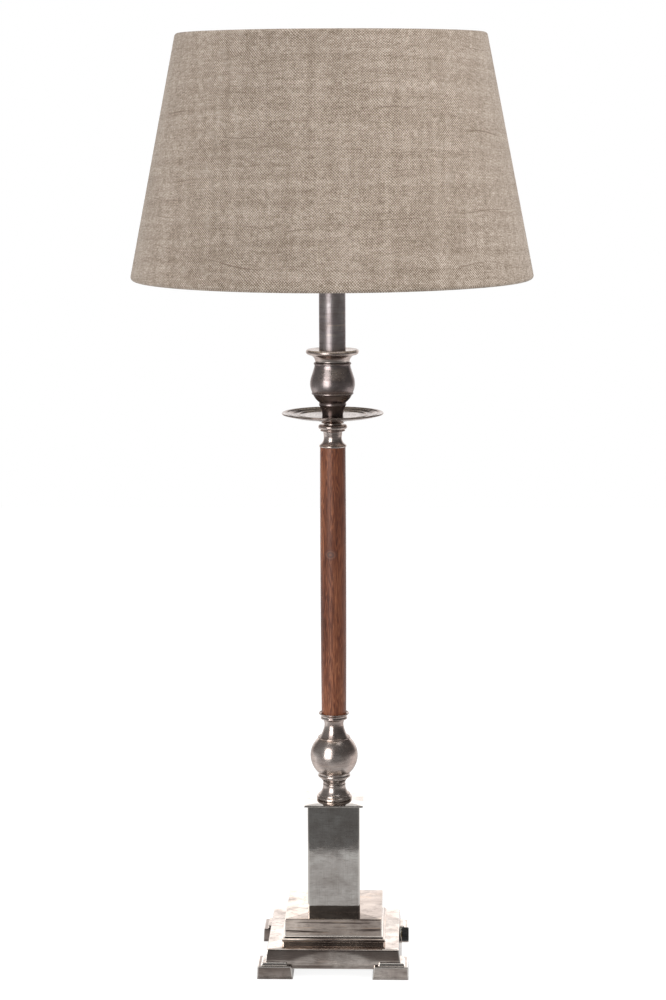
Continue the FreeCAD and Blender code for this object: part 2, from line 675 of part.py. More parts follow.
def bulb():
    """Pear-shaped bulb: glass, stem and filament, screw base, insulator and eyelet."""
    base = d.holder_seat + 9
    neck = d.holder_top
    radius, middle = d.bulb_radius, d.bulb_z
    glass = 0.8
    turn = 60                         # the neck leaves the sphere this far below the middle, in degrees
    join_r = radius * math.sin(math.radians(turn))
    join_z = middle - radius * math.cos(math.radians(turn))
    inner = radius - glass
    inner_r = inner * math.sin(math.radians(turn))
    inner_z = middle - inner * math.cos(math.radians(turn))
    flat = 1.5                        # small flat on the crown, outside and in
    crown = middle + math.sqrt(radius.value ** 2 - flat ** 2)
    inner_crown = middle + math.sqrt(inner.value ** 2 - flat ** 2)
    keep("bulb_glass", turned("BulbGlass", [
        (12.4, neck + 1), (13.4, neck + 1), (14.2, neck + 6), (join_r, join_z, -40),
        (flat, crown, radius), (0, crown), (0, inner_crown), (flat, inner_crown),
        (inner_r, inner_z, -inner), (13.3, neck + 6, 41), (12.4, neck + 2.5),
    ]))
    keep("bulb_shell", turned("BulbShell", [
        (8.0, base + 2.6), (12.2, base + 4.4), (13.2, base + 5.4), (13.2, neck - 1), (13.9, neck + 0.95, -6),
        (12.4, neck + 0.95), (12.4, base + 6), (8.0, base + 4.0),
    ]))
    keep("bulb_insulator", turned("BulbInsulator", [
        (4.6, base + 0.8), (5.4, base + 0.8), (8.0, base + 2.5), (8.0, base + 4.1), (4.6, base + 4.1),
    ]))
    keep("bulb_eyelet", turned("BulbEyelet", [
        (0, base + 0.1), (3.0, base + 0.1), (4.5, base + 0.8, 1.6), (4.5, base + 2.4), (0, base + 2.4),
    ]))
    keep("bulb_stem", turned("BulbStem", [
        (0, base + 8), (2.6, base + 8), (2.6, neck + 24), (1.8, neck + 30), (0, neck + 30),
    ]))
    filament = doc.addObject("Part::Torus", "FilamentRing")
    filament.Radius1, filament.Radius2 = 9, 0.35
    filament.Angle3 = 300
    place(filament, (0, 0, middle - 6))
    keep("bulb_filament", filament)


# ---------------------------------------------------------------- the shade

def shade_line():
    """Unit vector up along the shade's wall, and the outward normal, as sheet formulas."""
    rise = d.shade_head_z - d.shade_foot_z
    inward = d.shade_foot_radius - d.shade_head_radius
    length = Size(
        math.hypot(rise.value, inward.value),
        f"sqrt({rise.formula} ^ 2 + {inward.formula} ^ 2)",
    )
    return (-inward / length, rise / length), (rise / length, inward / length)


def wall_point(end, distance, along=0):
    """A point of the shade's section, from the centre of a wire ring."""
    up, out = shade_line()
    radius, height = end
    distance = as_size(distance)
    along = as_size(along)
    return radius + out[0] * distance + up[0] * along, height + out[1] * distance + up[1] * along


HEM_END = 25                       # the hem stops this many degrees short of half way round the wire


def shade():
    """Carrier with the lower wire ring, upper wire ring, liner, linen and the retaining ring."""
    foot = (d.shade_foot_radius, d.shade_foot_z)
    head = (d.shade_head_radius, d.shade_head_z)
    wire, gap = d.shade_wire, 0.05
    liner_in = wire + gap
    liner_out = liner_in + d.liner_thickness
    linen_in = liner_out + gap
    linen_out = linen_in + d.linen_thickness
    keep("shade_liner", turned("ShadeLiner", [
        wall_point(foot, liner_in, 0), wall_point(foot, liner_out, 0),
        wall_point(head, liner_out, 0), wall_point(head, liner_in, 0),
    ]))
    # the linen is wrapped round both wires and ends behind them, short of the arms
    back = -math.cos(math.radians(HEM_END))
    turn = math.sin(math.radians(HEM_END))
    keep("shade_cover", turned("ShadeCover", [
        wall_point(foot, linen_in * back, -linen_in * turn) + (-linen_in,),
        wall_point(foot, linen_out * back, -linen_out * turn),
        wall_point(foot, 0, -linen_out) + (linen_out,),
        wall_point(foot, linen_out, 0) + (linen_out,),
        wall_point(head, linen_out, 0),
        wall_point(head, 0, linen_out) + (linen_out,),
        wall_point(head, linen_out * back, linen_out * turn) + (linen_out,),
        wall_point(head, linen_in * back, linen_in * turn),
        wall_point(head, 0, linen_in) + (-linen_in,),
        wall_point(head, linen_in, 0) + (-linen_in,),
        wall_point(foot, linen_in, 0),
        wall_point(foot, 0, -linen_in) + (-linen_in,),
    ]))
    ring = new_body("TopRing")
    sketch = new_sketch(ring, "XZ_Plane")
    draw_circle(sketch, *head, wire)
    spin(ring, sketch)
    keep("top_wire_ring", ring)
    keep("shade_carrier", carrier())
    keep("shade_ring", retaining_ring())


def spin(body, sketch):
    turn = body.newObject("PartDesign::Revolution", "Turned")
    turn.Profile = sketch
    turn.ReferenceAxis = (sketch, ["V_Axis"])
    turn.Angle = 360
    return turn


def carrier():
    """Flat ring for the lampholder, three arms and the lower wire ring, welded in one."""
    inner = d.holder_radius + 0.08
    bottom = d.holder_seat + CARRIER_CLEARANCE
    middle = bottom + CARRIER_THICKNESS / 2
    outer = 28.8
    arm, arm_start = 1.25, 27.4
    body = new_body("Carrier")
    revolve(body, [
        (inner, bottom), (outer, bottom),
        (outer, bottom + CARRIER_THICKNESS), (inner, bottom + CARRIER_THICKNESS),
    ])
    path = new_sketch(body, "XZ_Plane")
    draw_path(path, [
        (arm_start, middle), (31, middle), (35.455, middle - 0.858, -12),
        (d.shade_foot_radius, d.shade_foot_z),
    ])
    section = new_sketch(body, "YZ_Plane", arm_start)
    draw_circle(section, 0, middle, arm)
    pipe = body.newObject("PartDesign::AdditivePipe", "Arm")
    pipe.Profile = section
    pipe.Spine = (path, ["Edge1", "Edge2", "Edge3"])
    pipe.Transition = "Round corner"
    doc.recompute()
    arms = body.newObject("PartDesign::PolarPattern", "Arms")
    arms.Originals = [pipe]
    arms.Axis = (path, ["V_Axis"])
    arms.Angle = 360
    arms.Occurrences = 3
    body.Tip = arms
    doc.recompute()
    ring = new_sketch(body, "XZ_Plane")
    draw_circle(ring, d.shade_foot_radius, d.shade_foot_z, d.shade_wire)
    spin(body, ring)
    return body


def retaining_ring():
    """Plastic ring that holds the carrier down on the lampholder, with finger notches."""
    inner = d.holder_radius + 0.08
    bottom = d.holder_seat + CARRIER_THICKNESS + CARRIER_CLEARANCE * 2
    body = new_body("Ring")
    revolve(body, [
        (inner, bottom), (26, bottom), (26, bottom + 2.2), (23.2, bottom + 2.6), (23.2, bottom + 9.4),
        (22.6, bottom + 10), (inner, bottom + 10),
    ])
    doc.recompute()
    sketch = new_sketch(body, "XY_Plane", bottom + 2.6)
    draw_circle(sketch, 23.9, 0, 1.6)
    notch = body.newObject("PartDesign::Pocket", "Notch")
    notch.Profile = sketch
    notch.Type = "ThroughAll"
    notch.Reversed = True
    doc.recompute()
    notches = body.newObject("PartDesign::PolarPattern", "Notches")
    notches.Originals = [notch]
    notches.Axis = (sketch, ["N_Axis"])
    notches.Angle = 360
    notches.Occurrences = 16
    body.Tip = notches
    return body


# ---------------------------------------------------------------- switch, terminals and leads

ALONG_X = FreeCAD.Rotation(FreeCAD.Vector(0, 1, 0), 90)
ALONG_Y = FreeCAD.Rotation(FreeCAD.Vector(1, 0, 0), -90)
SPINDLE_RADIUS = 2
SWITCH_FACE = 46.9                 # front of the switch body from the middle
SWITCH_DEPTH = 15
SWITCH_HALF_WIDTH = 8
SWITCH_HALF_HEIGHT = 4.1
NUT_THICKNESS = 1.1


def switch():
    """Rotary switch behind the wall, its bushing, nut and spindle, and the fluted knob outside."""
    axis = (d.switch_y, d.switch_z)
    knob = new_body("Knob")
    revolve(knob, [
        (SPINDLE_RADIUS + 0.02, 0), (d.knob_radius - 0.4, 0), (d.knob_radius, 0.4),
        (d.knob_radius, d.knob_length - 0.9), (d.knob_radius - 0.9, d.knob_length, 0.9),
        (0, d.knob_length), (0, d.knob_length - 1.6), (SPINDLE_RADIUS + 0.02, d.knob_length - 1.6),
    ])
    doc.recompute()
    sketch = new_sketch(knob, "XY_Plane", 0.9)
    draw_circle(sketch, d.knob_radius + 0.25, 0, 0.55)
    flute = knob.newObject("PartDesign::Pocket", "Flute")
    flute.Profile = sketch
    flute.Type = "ThroughAll"
    flute.Reversed = True
    doc.recompute()
    flutes = knob.newObject("PartDesign::PolarPattern", "Flutes")
    flutes.Originals = [flute]
    flutes.Axis = (sketch, ["N_Axis"])
    flutes.Angle = 360
    flutes.Occurrences = 24
    knob.Tip = flutes
    place(knob, (d.knob_back,) + axis, ALONG_X)
    keep("switch_knob", knob)

    spindle_start = SWITCH_FACE + 0.3
    spindle = turned("Spindle", [
        (0, 0), (SPINDLE_RADIUS, 0), (SPINDLE_RADIUS, d.knob_back + d.knob_length - 1.7 - spindle_start),
        (0, d.knob_back + d.knob_length - 1.7 - spindle_start),
    ])
    place(spindle, (spindle_start,) + axis, ALONG_X)
    keep("switch_spindle", spindle)
    bushing_length = SPOT_FACE_X + NUT_THICKNESS + 0.1 - SWITCH_FACE
    bushing = turned("Bushing", [
        (SPINDLE_RADIUS + 0.05, 0), (BUSHING_RADIUS, 0), (BUSHING_RADIUS, bushing_length),
        (SPINDLE_RADIUS + 0.05, bushing_length),
    ])
    place(bushing, (SWITCH_FACE,) + axis, ALONG_X)
    keep("switch_bushing", bushing)
    nut = prism("SwitchNut", hexagon(9.5), 0, NUT_THICKNESS)
    thread = bar("Thread", BUSHING_RADIUS + 0.03, (0, 0, -1), 5)
    nut_bored = cut("SwitchNutBored", nut, [thread])
    place(nut_bored, (SPOT_FACE_X,) + axis, ALONG_X)
    keep("switch_nut", nut_bored)
    half, height, depth = SWITCH_HALF_WIDTH, SWITCH_HALF_HEIGHT, SWITCH_DEPTH
    housing = prism("Housing", [
        (-height, -half + 1), (-height + 1, -half), (height - 1, -half), (height, -half + 1),
        (height, half - 1), (height - 1, half), (-height + 1, half), (-height, half - 1),
    ], 0, depth)
    place(housing, (SWITCH_FACE - depth,) + axis, ALONG_X)
    keep("switch_body", housing)


BLOCK_X, BLOCK_Z = -30, 9.3        # middle and underside of the terminal block
BLOCK_HALF_X, BLOCK_HALF_Y = 8, 10


def terminals():
    """Two-pole terminal block with its screws, the earth screw and its tag, the inlet bushing."""
    roof_bottom = d.tier_top - d.tier_roof
    rim_x, rim_y = BLOCK_HALF_X, BLOCK_HALF_Y
    block = prism("Block", [
        (BLOCK_X - rim_x, -rim_y), (BLOCK_X + rim_x, -rim_y), (BLOCK_X + rim_x, -1),
        (BLOCK_X + rim_x - 2, 0), (BLOCK_X + rim_x, 1), (BLOCK_X + rim_x, rim_y),
        (BLOCK_X - rim_x, rim_y), (BLOCK_X - rim_x, 1), (BLOCK_X - rim_x + 2, 0), (BLOCK_X - rim_x, -1),
    ], BLOCK_Z, roof_bottom)
    screw_places = [(BLOCK_X + sign * 4.5, y) for sign in (1, -1) for y in (5, -5)]
    wells = [bar("Well", 1.9, (x, y, BLOCK_Z - 1), 5) for x, y in screw_places]
    entries = [bar("Entry", 1.3, (BLOCK_X - 20, y, BLOCK_Z + 5.4), 40, (1, 0, 0)) for y in (5, -5)]
    keep("terminal_block", cut("TerminalBlock", block, wells + entries))
    screws = []
    for x, y in screw_places:
        screw = turned("TerminalScrew", [(0, 0.8), (0.5, 0.8), (0.5, 0), (1.7, 0), (1.7, 3), (0, 3)])
        place(screw, (x, y, BLOCK_Z + 0.4))
        screws.append(screw)
    keep("terminal_screws", group("TerminalScrews", screws))
    earth = turned("EarthScrew", [
        (0, -3.0), (1.8, -3.0), (2.6, -2.2, 0.9), (2.6, -0.9), (1.4, -0.9), (1.4, 1.4), (0, 1.4),
    ])
    place(earth, (-20, 24, roof_bottom))
    keep("earth_screw", earth)
    tag = prism("Tag", [(-3, -3), (9, -2), (9, 2), (-3, 3)], -0.85, -0.05)
    tag_bored = cut("TagBored", tag, [bar("TagHole", 1.5, (0, 0, -3), 6)])
    place(tag_bored, (-20, 24, roof_bottom))
    keep("earth_tag", tag_bored)
    inner, outer = d.inlet_radius, INLET_HOLE
    bushing = turned("Inlet", [
        (inner, 0), (outer + 0.8, 0), (outer + 0.8, 1.8), (outer - 0.05, 1.8), (outer - 0.05, 6.6),
        (outer + 1.4, 6.6), (outer + 0.7, 8.6, 1.9), (inner + 0.5, 8.6), (inner, 8.1),
    ])
    place(bushing, (0, d.tier_hollow - 1.9, d.inlet_z), ALONG_Y)
    keep("cord_bushing", bushing)


def lead(name, route):
    """An insulated lead: straight runs joined by tangent arcs as large as the runs allow.

    A fourth number at a point is the largest bend there, where a hole sets it.
    """
    radius = d.lead_radius.value
    points = [FreeCAD.Vector(*point[:3]) for point in route]
    limits = [point[3] if len(point) == 4 else 12 for point in route]
    edges = []
    here = points[0]
    for before, corner, after, limit in zip(points, points[1:], points[2:], limits[1:]):
        into, out = (before - corner), (after - corner)
        half_turn = (math.pi - into.getAngle(out)) / 2
        bend = min(0.45 * min(into.Length, out.Length) / math.tan(half_turn), limit)
        reach = bend * math.tan(half_turn)
        start = corner + into.normalize() * reach
        stop = corner + out.normalize() * reach
        inward = (into + out).normalize()
        middle = corner + inward * (bend / math.cos(half_turn) - bend)
        edges.append(Part.LineSegment(here, start).toShape())
        edges.append(Part.Arc(start, middle, stop).toShape())
        print(f"{name}: bend of radius {bend:.1f}")
        here = stop
    edges.append(Part.LineSegment(here, points[-1]).toShape())
    path = Part.Wire(edges)
    section = Part.Wire(Part.makeCircle(radius, points[0], points[1] - points[0]))
    tube = path.makePipeShell([section], True, True)
    plain_volume = math.pi * radius ** 2 * path.Length
    print(f"{name}: volume over section times length {tube.Volume / plain_volume:.4f}")
    piece = doc.addObject("Part::Feature", name)
    piece.Shape = tube
    return keep(name, piece)


def leads():
    """The internal leads, low in the hollow of the foot and up through the tie rod."""
    low = BLOCK_Z + 1.2
    entry = BLOCK_Z + 5.4
    block_side = BLOCK_X + BLOCK_HALF_X
    switch_back = SWITCH_FACE - SWITCH_DEPTH
    seat = d.holder_seat.value
    offset = 1.3                      # each lead's distance from the middle of the tie rod
    entry_bend = 2.6
    exit_bend = 3
    lead("lead_neutral", [
        (block_side - 3, -5, entry), (block_side + 4, -5, entry), (block_side + 8, -4, low),
        (-offset, 0, low, entry_bend), (-offset, 0, seat - 8.5, exit_bend), (-9, 0, seat - 3.8, exit_bend),
        (-9, 0, seat + 5.9),
    ])
    lead("lead_switched", [
        (switch_back - 0.1, 6, low), (switch_back - 8, 6, low), (offset + 6, 0, low),
        (offset, 0, low, entry_bend), (offset, 0, seat - 8.5, exit_bend), (9, 0, seat - 3.8, exit_bend),
        (9, 0, seat + 5.9),
    ])
    lead("lead_feed", [
        (block_side - 3, 5, entry), (block_side + 4, 5, entry), (block_side + 7, 9, low),
        (-6, 17, low), (12, 17, low), (22, 12, low), (switch_back - 0.1, 12, low),
    ])


# ---------------------------------------------------------------- build and export

def report_state():
    """Stop on any failed feature or sub-part."""
    doc.recompute()
    failed = [item.Label for item in doc.Objects if "Invalid" in item.State or "Error" in item.State]
    for label, piece in subparts.items():
        if piece.Shape.isNull() or not piece.Shape.isValid() or not piece.Shape.Solids:
            failed.append(label)
    if failed:
        raise RuntimeError(f"failed: {', '.join(failed)}")


for build in (
    foot_plinth, bottom_cover, middle_plinth, column, knop_foot, ball_knop, lower_ferrule, wood_rod,
    upper_ferrule, drip_pan, urn_knop, candle_socket, tie_rod, lampholder, bulb, shade, switch,
    terminals, leads,
):
    build()

report_state()
os.makedirs(OUT, exist_ok=True)
for label, piece in subparts.items():
    piece.Shape.exportStep(f"{OUT}/{label}.step")
    shape = piece.Shape
    print(f"{label}: {len(shape.Solids)} solid, {shape.Volume / 1000:.2f} cm3")
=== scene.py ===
import math
import random

import bmesh
import bpy
import numpy as np
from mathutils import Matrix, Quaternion, Vector


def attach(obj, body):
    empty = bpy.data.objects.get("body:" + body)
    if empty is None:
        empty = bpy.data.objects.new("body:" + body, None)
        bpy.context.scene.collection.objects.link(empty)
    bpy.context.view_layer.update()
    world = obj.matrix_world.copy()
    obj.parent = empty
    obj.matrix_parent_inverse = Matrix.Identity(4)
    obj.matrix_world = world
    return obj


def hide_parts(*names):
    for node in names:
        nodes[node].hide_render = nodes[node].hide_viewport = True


# Candlestick table lamp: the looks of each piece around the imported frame.
# Outlines are written in millimetres as (radius, height); meshes are made in metres.

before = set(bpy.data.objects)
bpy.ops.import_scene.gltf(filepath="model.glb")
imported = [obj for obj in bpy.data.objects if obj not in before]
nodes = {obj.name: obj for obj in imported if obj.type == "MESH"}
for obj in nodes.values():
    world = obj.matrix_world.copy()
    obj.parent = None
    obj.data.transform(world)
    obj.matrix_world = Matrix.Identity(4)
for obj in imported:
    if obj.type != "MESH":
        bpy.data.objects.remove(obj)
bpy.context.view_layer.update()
scene = bpy.context.scene

MM = 0.001
FULL_TURN = 2 * math.pi


# ---------------- sections

ARC_CHORD, ARC_TURN = 0.35, math.radians(9)  # the longest step along an arc
FEWEST_STEPS, MOST_STEPS = 4, 60
EASE = 0.22  # how far an edge of polished metal is rounded
LEAST_TURN = math.radians(14)  # a corner that turns less isn't rounded
CUT_SHARE = 0.3  # the most of a side that one rounding takes
SUPPORT, SUPPORT_SHARE = 2.2, 0.48  # where the supports stand: in cuts, and at most
TINY = 1e-6


def drawn_out(corners, longest):
    """Points of a closed outline with its arcs drawn out, and whether each one is a corner.

    A corner is (x, y), or (x, y, radius) where an arc leads to it. The arc of a positive
    radius swells to the right of the way.
    """
    points, is_corner = [], []
    for index, corner in enumerate(corners):
        x1, y1 = corner[:2]
        if len(corner) == 3:
            x0, y0 = corners[index - 1][:2]
            radius = corner[2]
            chord = math.hypot(x1 - x0, y1 - y0)
            half = math.asin(min(1, chord / 2 / abs(radius)))
            middle = np.array([(x0 + x1) / 2, (y0 + y1) / 2])
            right = np.array([y1 - y0, x0 - x1]) / chord
            centre = middle - right * math.copysign(abs(radius) * math.cos(half), radius)
            start = math.atan2(y0 - centre[1], x0 - centre[0])
            sweep = math.copysign(2 * half, radius)
            steps = max(int(abs(sweep * radius) / longest), int(abs(sweep) / ARC_TURN))
            steps = min(max(steps, FEWEST_STEPS), MOST_STEPS)
            for step in range(1, steps):
                turn = start + sweep * step / steps
                points.append(centre + abs(radius) * np.array([math.cos(turn), math.sin(turn)]))
                is_corner.append(False)
        points.append(np.array([x1, y1], float))
        is_corner.append(True)
    return points, is_corner


def eased(points, is_corner, closed, ease):
    """Round each corner a little, with supports beside it, and mark the rounded corners for wear
    and a painted highlight.
    """
    out, worn = [], []
    count = len(points)
    for index, here in enumerate(points):
        at_end = not closed and index in (0, count - 1)
        back, on = points[index - 1] - here, points[(index + 1) % count] - here
        back_length, on_length = np.linalg.norm(back), np.linalg.norm(on)
        sharp = is_corner[index] and not at_end and min(back_length, on_length) >= TINY
        if sharp:
            back, on = back / back_length, on / on_length
            sharp = math.acos(max(-1, min(1, -float(back @ on)))) >= LEAST_TURN
        if not sharp:
            out.append(here)
            worn.append(0.0)
            continue
        cut = min(ease, CUT_SHARE * back_length, CUT_SHARE * on_length)
        start, stop = here + back * cut, here + on * cut
        out.append(here + back * min(cut * SUPPORT, SUPPORT_SHARE * back_length))
        worn.append(0.0)
        for blend in (0.0, 0.25, 0.5, 0.75, 1.0):
            rest = 1 - blend
            out.append(start * rest ** 2 + here * 2 * blend * rest + stop * blend ** 2)
            worn.append(1.0)
        out.append(here + on * min(cut * SUPPORT, SUPPORT_SHARE * on_length))
        worn.append(0.0)
    return out, worn


def section(corners, ease=EASE, longest=ARC_CHORD):
    return eased(*drawn_out(corners, longest), True, ease)


# ---------------- meshes

SHARP_ANGLE, SHARP_FELT = math.radians(28), math.radians(40)
WELD = 2e-6  # corner points of a CAD mesh that are nearer become one


def mark(piece, name, values):
    """Store one number for each corner point of a piece, for its finish to read."""
    attributes = piece.data.attributes
    layer = attributes.get(name) or attributes.new(name, "FLOAT", "POINT")
    layer.data.foreach_set("value", values)


def linked(name, data):
    """A new object with this data, in the scene."""
    thing = bpy.data.objects.new(name, data)
    scene.collection.objects.link(thing)
    return thing


def new_piece(name, places, faces, worn=None):
    """A smooth mesh object at the origin from places in metres."""
    mesh = bpy.data.meshes.new(name)
    mesh.from_pydata([tuple(place) for place in places], [], faces)
    mesh.validate()
    work = bmesh.new()
    work.from_mesh(mesh)
    bmesh.ops.recalc_face_normals(work, faces=work.faces)
    work.to_mesh(mesh)
    work.free()
    mesh.polygons.foreach_set("use_smooth", [True] * len(mesh.polygons))
    piece = linked(name, mesh)
    if worn is not None:
        mark(piece, "worn", worn)
    return piece


def dress(piece, material, slot, *replaced, body="stand"):
    """Give a piece its material and its body, and hide the nodes that it stands for."""
    piece.data.materials.clear()
    piece.data.materials.append(material)
    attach(piece, body)
    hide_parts(*replaced)


def bands(rings, closed):
    """Faces between neighbouring rings of corner numbers, and back to the first if closed."""
    faces = []
    for low, high in zip(rings, rings[1:] + rings[:1] if closed else rings[1:]):
        for index in range(len(low)):
            after = (index + 1) % len(low)
            faces.append((low[index], low[after], high[after], high[index]))
    return faces


def equal_rings(count, around):
    """Numbers of the corners of rings that follow one another."""
    return [list(range(ring * around, (ring + 1) * around)) for ring in range(count)]


def turned(name, corners, around, ease=EASE, longest=ARC_CHORD):
    """A solid of revolution about the lamp's axis from a closed outline."""
    outline, worn = section(corners, ease, longest)
    turns = [FULL_TURN * index / around for index in range(around)]
    places = [
        (radius * math.cos(turn) * MM, radius * math.sin(turn) * MM, height * MM)
        for radius, height in outline for turn in turns
    ]
    marks = [wear_and_highlight for wear_and_highlight in worn for _ in turns]
    return new_piece(name, places, bands(equal_rings(len(outline), around), True), marks)


def rectangle(x0, x1, y0, y1, corner):
    """Points of a rectangle with eased corners, anticlockwise, and their wear."""
    corner = min(corner, 0.2 * min(x1 - x0, y1 - y0))
    square = [np.array(place, float) for place in ((x0, y0), (x1, y0), (x1, y1), (x0, y1))]
    return eased(square, [True] * 4, True, corner)


def stacked(name, levels, corner, closed=False, mirror=()):
    """A solid through rectangles at rising heights, and its mirrored copies.

    Each level is (x0, x1, y0, y1, z, worn). A closed stack runs back to its first
    level, as round a hollow. Upright edges are marked worn and highlit, but not where they cross
    a level face.
    """
    places, marks, faces = [], [], []
    for sign_x, sign_y in [(1, 1), *mirror]:
        rings = []
        for index, (x0, x1, y0, y1, z, level_worn_and_highlit) in enumerate(levels):
            ring, ring_worn_and_highlit = rectangle(x0, x1, y0, y1, corner)
            beside = levels[index - 1], levels[(index + 1) % len(levels)]
            if not any(abs(level[4] - z) > abs(level[1] - x1) for level in beside):
                ring_worn_and_highlit = [0.0] * len(ring)
            rings.append(list(range(len(places), len(places) + len(ring))))
            for (x, y), wear_and_highlight in zip(ring, ring_worn_and_highlit):
                places.append((sign_x * x * MM, sign_y * y * MM, z * MM))
                marks.append(max(wear_and_highlight, level_worn_and_highlit))
        faces += bands(rings, closed)
        if not closed:
            faces += [tuple(reversed(rings[0])), tuple(rings[-1])]
    return new_piece(name, places, faces, marks)


def square_levels(corners):
    """Levels of a square moulding about the axis from a section of (half width, height)."""
    outline, worn = section(corners)
    return [(-half, half, -half, half, z, wear_and_highlight) for (half, z), wear_and_highlight in zip(outline, worn)]


def joined(name, pieces):
    """One piece from several, which are removed."""
    work = bmesh.new()
    worn = []
    for piece in pieces:
        work.from_mesh(piece.data)
        layer = piece.data.attributes.get("worn")
        count = len(piece.data.vertices)
        worn += [item.value for item in layer.data] if layer else [0.0] * count
    mesh = bpy.data.meshes.new(name)
    work.to_mesh(mesh)
    work.free()
    whole = linked(name, mesh)
    mark(whole, "worn", worn)
    for piece in pieces:
        bpy.data.objects.remove(piece)
    return whole


def smoothed_node(node, name):
    """A merged copy of a node's mesh with smooth faces between its sharp edges."""
    mesh = nodes[node].data.copy()
    mesh.name = name
    work = bmesh.new()
    work.from_mesh(mesh)
    bmesh.ops.remove_doubles(work, verts=work.verts, dist=WELD)
    work.to_mesh(mesh)
    work.free()
    for layer in list(mesh.attributes):
        if layer.name == "custom_normal":
            mesh.attributes.remove(layer)
    mesh.polygons.foreach_set("use_smooth", [True] * len(mesh.polygons))
    mesh.set_sharp_from_angle(angle=SHARP_ANGLE)
    return linked(name, mesh)


# ---------------- node trees

class Number:
    """An output in a node tree; sums, differences and products add their Math nodes."""

    def __init__(self, graph, socket):
        self.graph, self.socket = graph, socket

    def maths(self, operation, *others):
        inputs = dict(enumerate((self,) + others))
        return self.graph.node("ShaderNodeMath", inputs, operation=operation)

    def __add__(self, other):
        return self.maths("ADD", other)

    def __sub__(self, other):
        return self.maths("SUBTRACT", other)

    def __rsub__(self, other):
        return (self * -1) + other

    def __mul__(self, other):
        return self.maths("MULTIPLY", other)

    def __truediv__(self, other):
        return self.maths("DIVIDE", other)

    __radd__ = __add__
    __rmul__ = __mul__

    def within(self, low, high):
        """0 below low, 1 above high, smooth between."""
        inputs = {0: self, 1: low, 2: high, 3: 0.0, 4: 1.0}
        return self.graph.node("ShaderNodeMapRange", inputs, interpolation_type="SMOOTHSTEP")


class Graph:
    """The nodes of one material, of the surroundings or of one growth."""

    def __init__(self, tree):
        self.tree = tree

    def node(self, kind, inputs=None, output=0, **settings):
        """A new node, its settings made before its inputs are fed; gives one output."""
        node = self.tree.nodes.new(kind)
        for key, value in settings.items():
            if key == "stops":
                elements = node.color_ramp.elements
                while len(elements) < len(value):
                    elements.new(0.5)
                for element, (place, colour) in zip(elements, value):
                    element.position, element.color = place, colour
            else:
                setattr(node, key, value)
        for key, value in (inputs or {}).items():
            self.feed(node.inputs[key], value)
        return None if output is None else Number(self, node.outputs[output])

    def feed(self, socket, value):
        """Link or set an input; a list goes into an input that takes several links."""
        for one in value if isinstance(value, list) else [value]:
            if isinstance(one, Number):
                self.tree.links.new(one.socket, socket)
            else:
                socket.default_value = one

    def spot(self, x=0.0, y=0.0, z=0.0):
        return self.node("ShaderNodeCombineXYZ", {0: x, 1: y, 2: z})

    def axes(self, where):
        split = self.node("ShaderNodeSeparateXYZ", {0: where}).socket.node
        return [Number(self, output) for output in split.outputs]

    def ray(self, name):
        return self.node("ShaderNodeLightPath", output=f"Is {name} Ray")

    def mirrored(self):
        """1 where metal or glass is looking."""
        return self.ray("Glossy").maths("MAXIMUM", self.ray("Transmission"))


class Growth(Graph):
    """A Geometry Nodes tree with named sizes, and the plain mesh that it makes."""

    ROUND, SIDES = 180, 16  # corners round a ring, and round its wire

    def __init__(self, name, **sizes):
        super().__init__(bpy.data.node_groups.new(name, "GeometryNodeTree"))
        self.tree.is_modifier = True
        self.sizes, self.identifiers = sizes, {}
        sockets = self.tree.interface
        for size, value in sizes.items():
            kind = "NodeSocketInt" if isinstance(value, int) else "NodeSocketFloat"
            socket = sockets.new_socket(size, in_out="INPUT", socket_type=kind)
            self.identifiers[size] = socket.identifier
        sockets.new_socket("Geometry", in_out="OUTPUT", socket_type="NodeSocketGeometry")
        self.start = self.tree.nodes.new("NodeGroupInput")

    def size(self, name):
        return Number(self, self.start.outputs[name])

    def circle(self, corners, radius):
        inputs = {"Resolution": corners, "Radius": radius}
        return self.node("GeometryNodeCurvePrimitiveCircle", inputs)

    def moved(self, shape, spot):
        return self.node("GeometryNodeTransform", {"Geometry": shape, "Translation": spot})

    def wire(self, path, radius, caps=False):
        """A round wire along a curve."""
        profile = self.circle(self.SIDES, radius)
        inputs = {"Curve": path, "Profile Curve": profile, "Fill Caps": caps}
        return self.node("GeometryNodeCurveToMesh", inputs)

    def hoop(self):
        """A ring of wire about the axis, with the sizes reach, height and wire."""
        circle = self.circle(self.ROUND, self.size("reach"))
        return self.wire(self.moved(circle, self.spot(z=self.size("height"))), self.size("wire"))

    def grown(self, name, shape, material):
        """The plain mesh of a shape, its instances made real."""
        real = self.node("GeometryNodeRealizeInstances", {"Geometry": shape})
        smooth = self.node("GeometryNodeSetShadeSmooth", {"Geometry": real})
        inputs = {"Geometry": smooth, "Material": material}
        coloured = self.node("GeometryNodeSetMaterial", inputs)
        self.node("NodeGroupOutput", {"Geometry": coloured}, None)
        seed = linked(name, bpy.data.meshes.new(name + "_seed"))
        modifier = seed.modifiers.new("growth", "NODES")
        modifier.node_group = self.tree
        for size, value in self.sizes.items():
            modifier[self.identifiers[size]] = value
        evaluated = seed.evaluated_get(bpy.context.evaluated_depsgraph_get())
        mesh = bpy.data.meshes.new_from_object(evaluated)
        seed.modifiers.remove(modifier)
        bpy.data.objects.remove(seed)
        mesh.name = name
        return linked(name, mesh)


def srgb(red, green, blue):
    """An opaque colour from the three numbers of a screen colour, 0 to 255."""
    def linear(level):
        level /= 255
        return level / 12.92 if level <= 0.04045 else ((level + 0.055) / 1.055) ** 2.4
    return (linear(red), linear(green), linear(blue), 1.0)


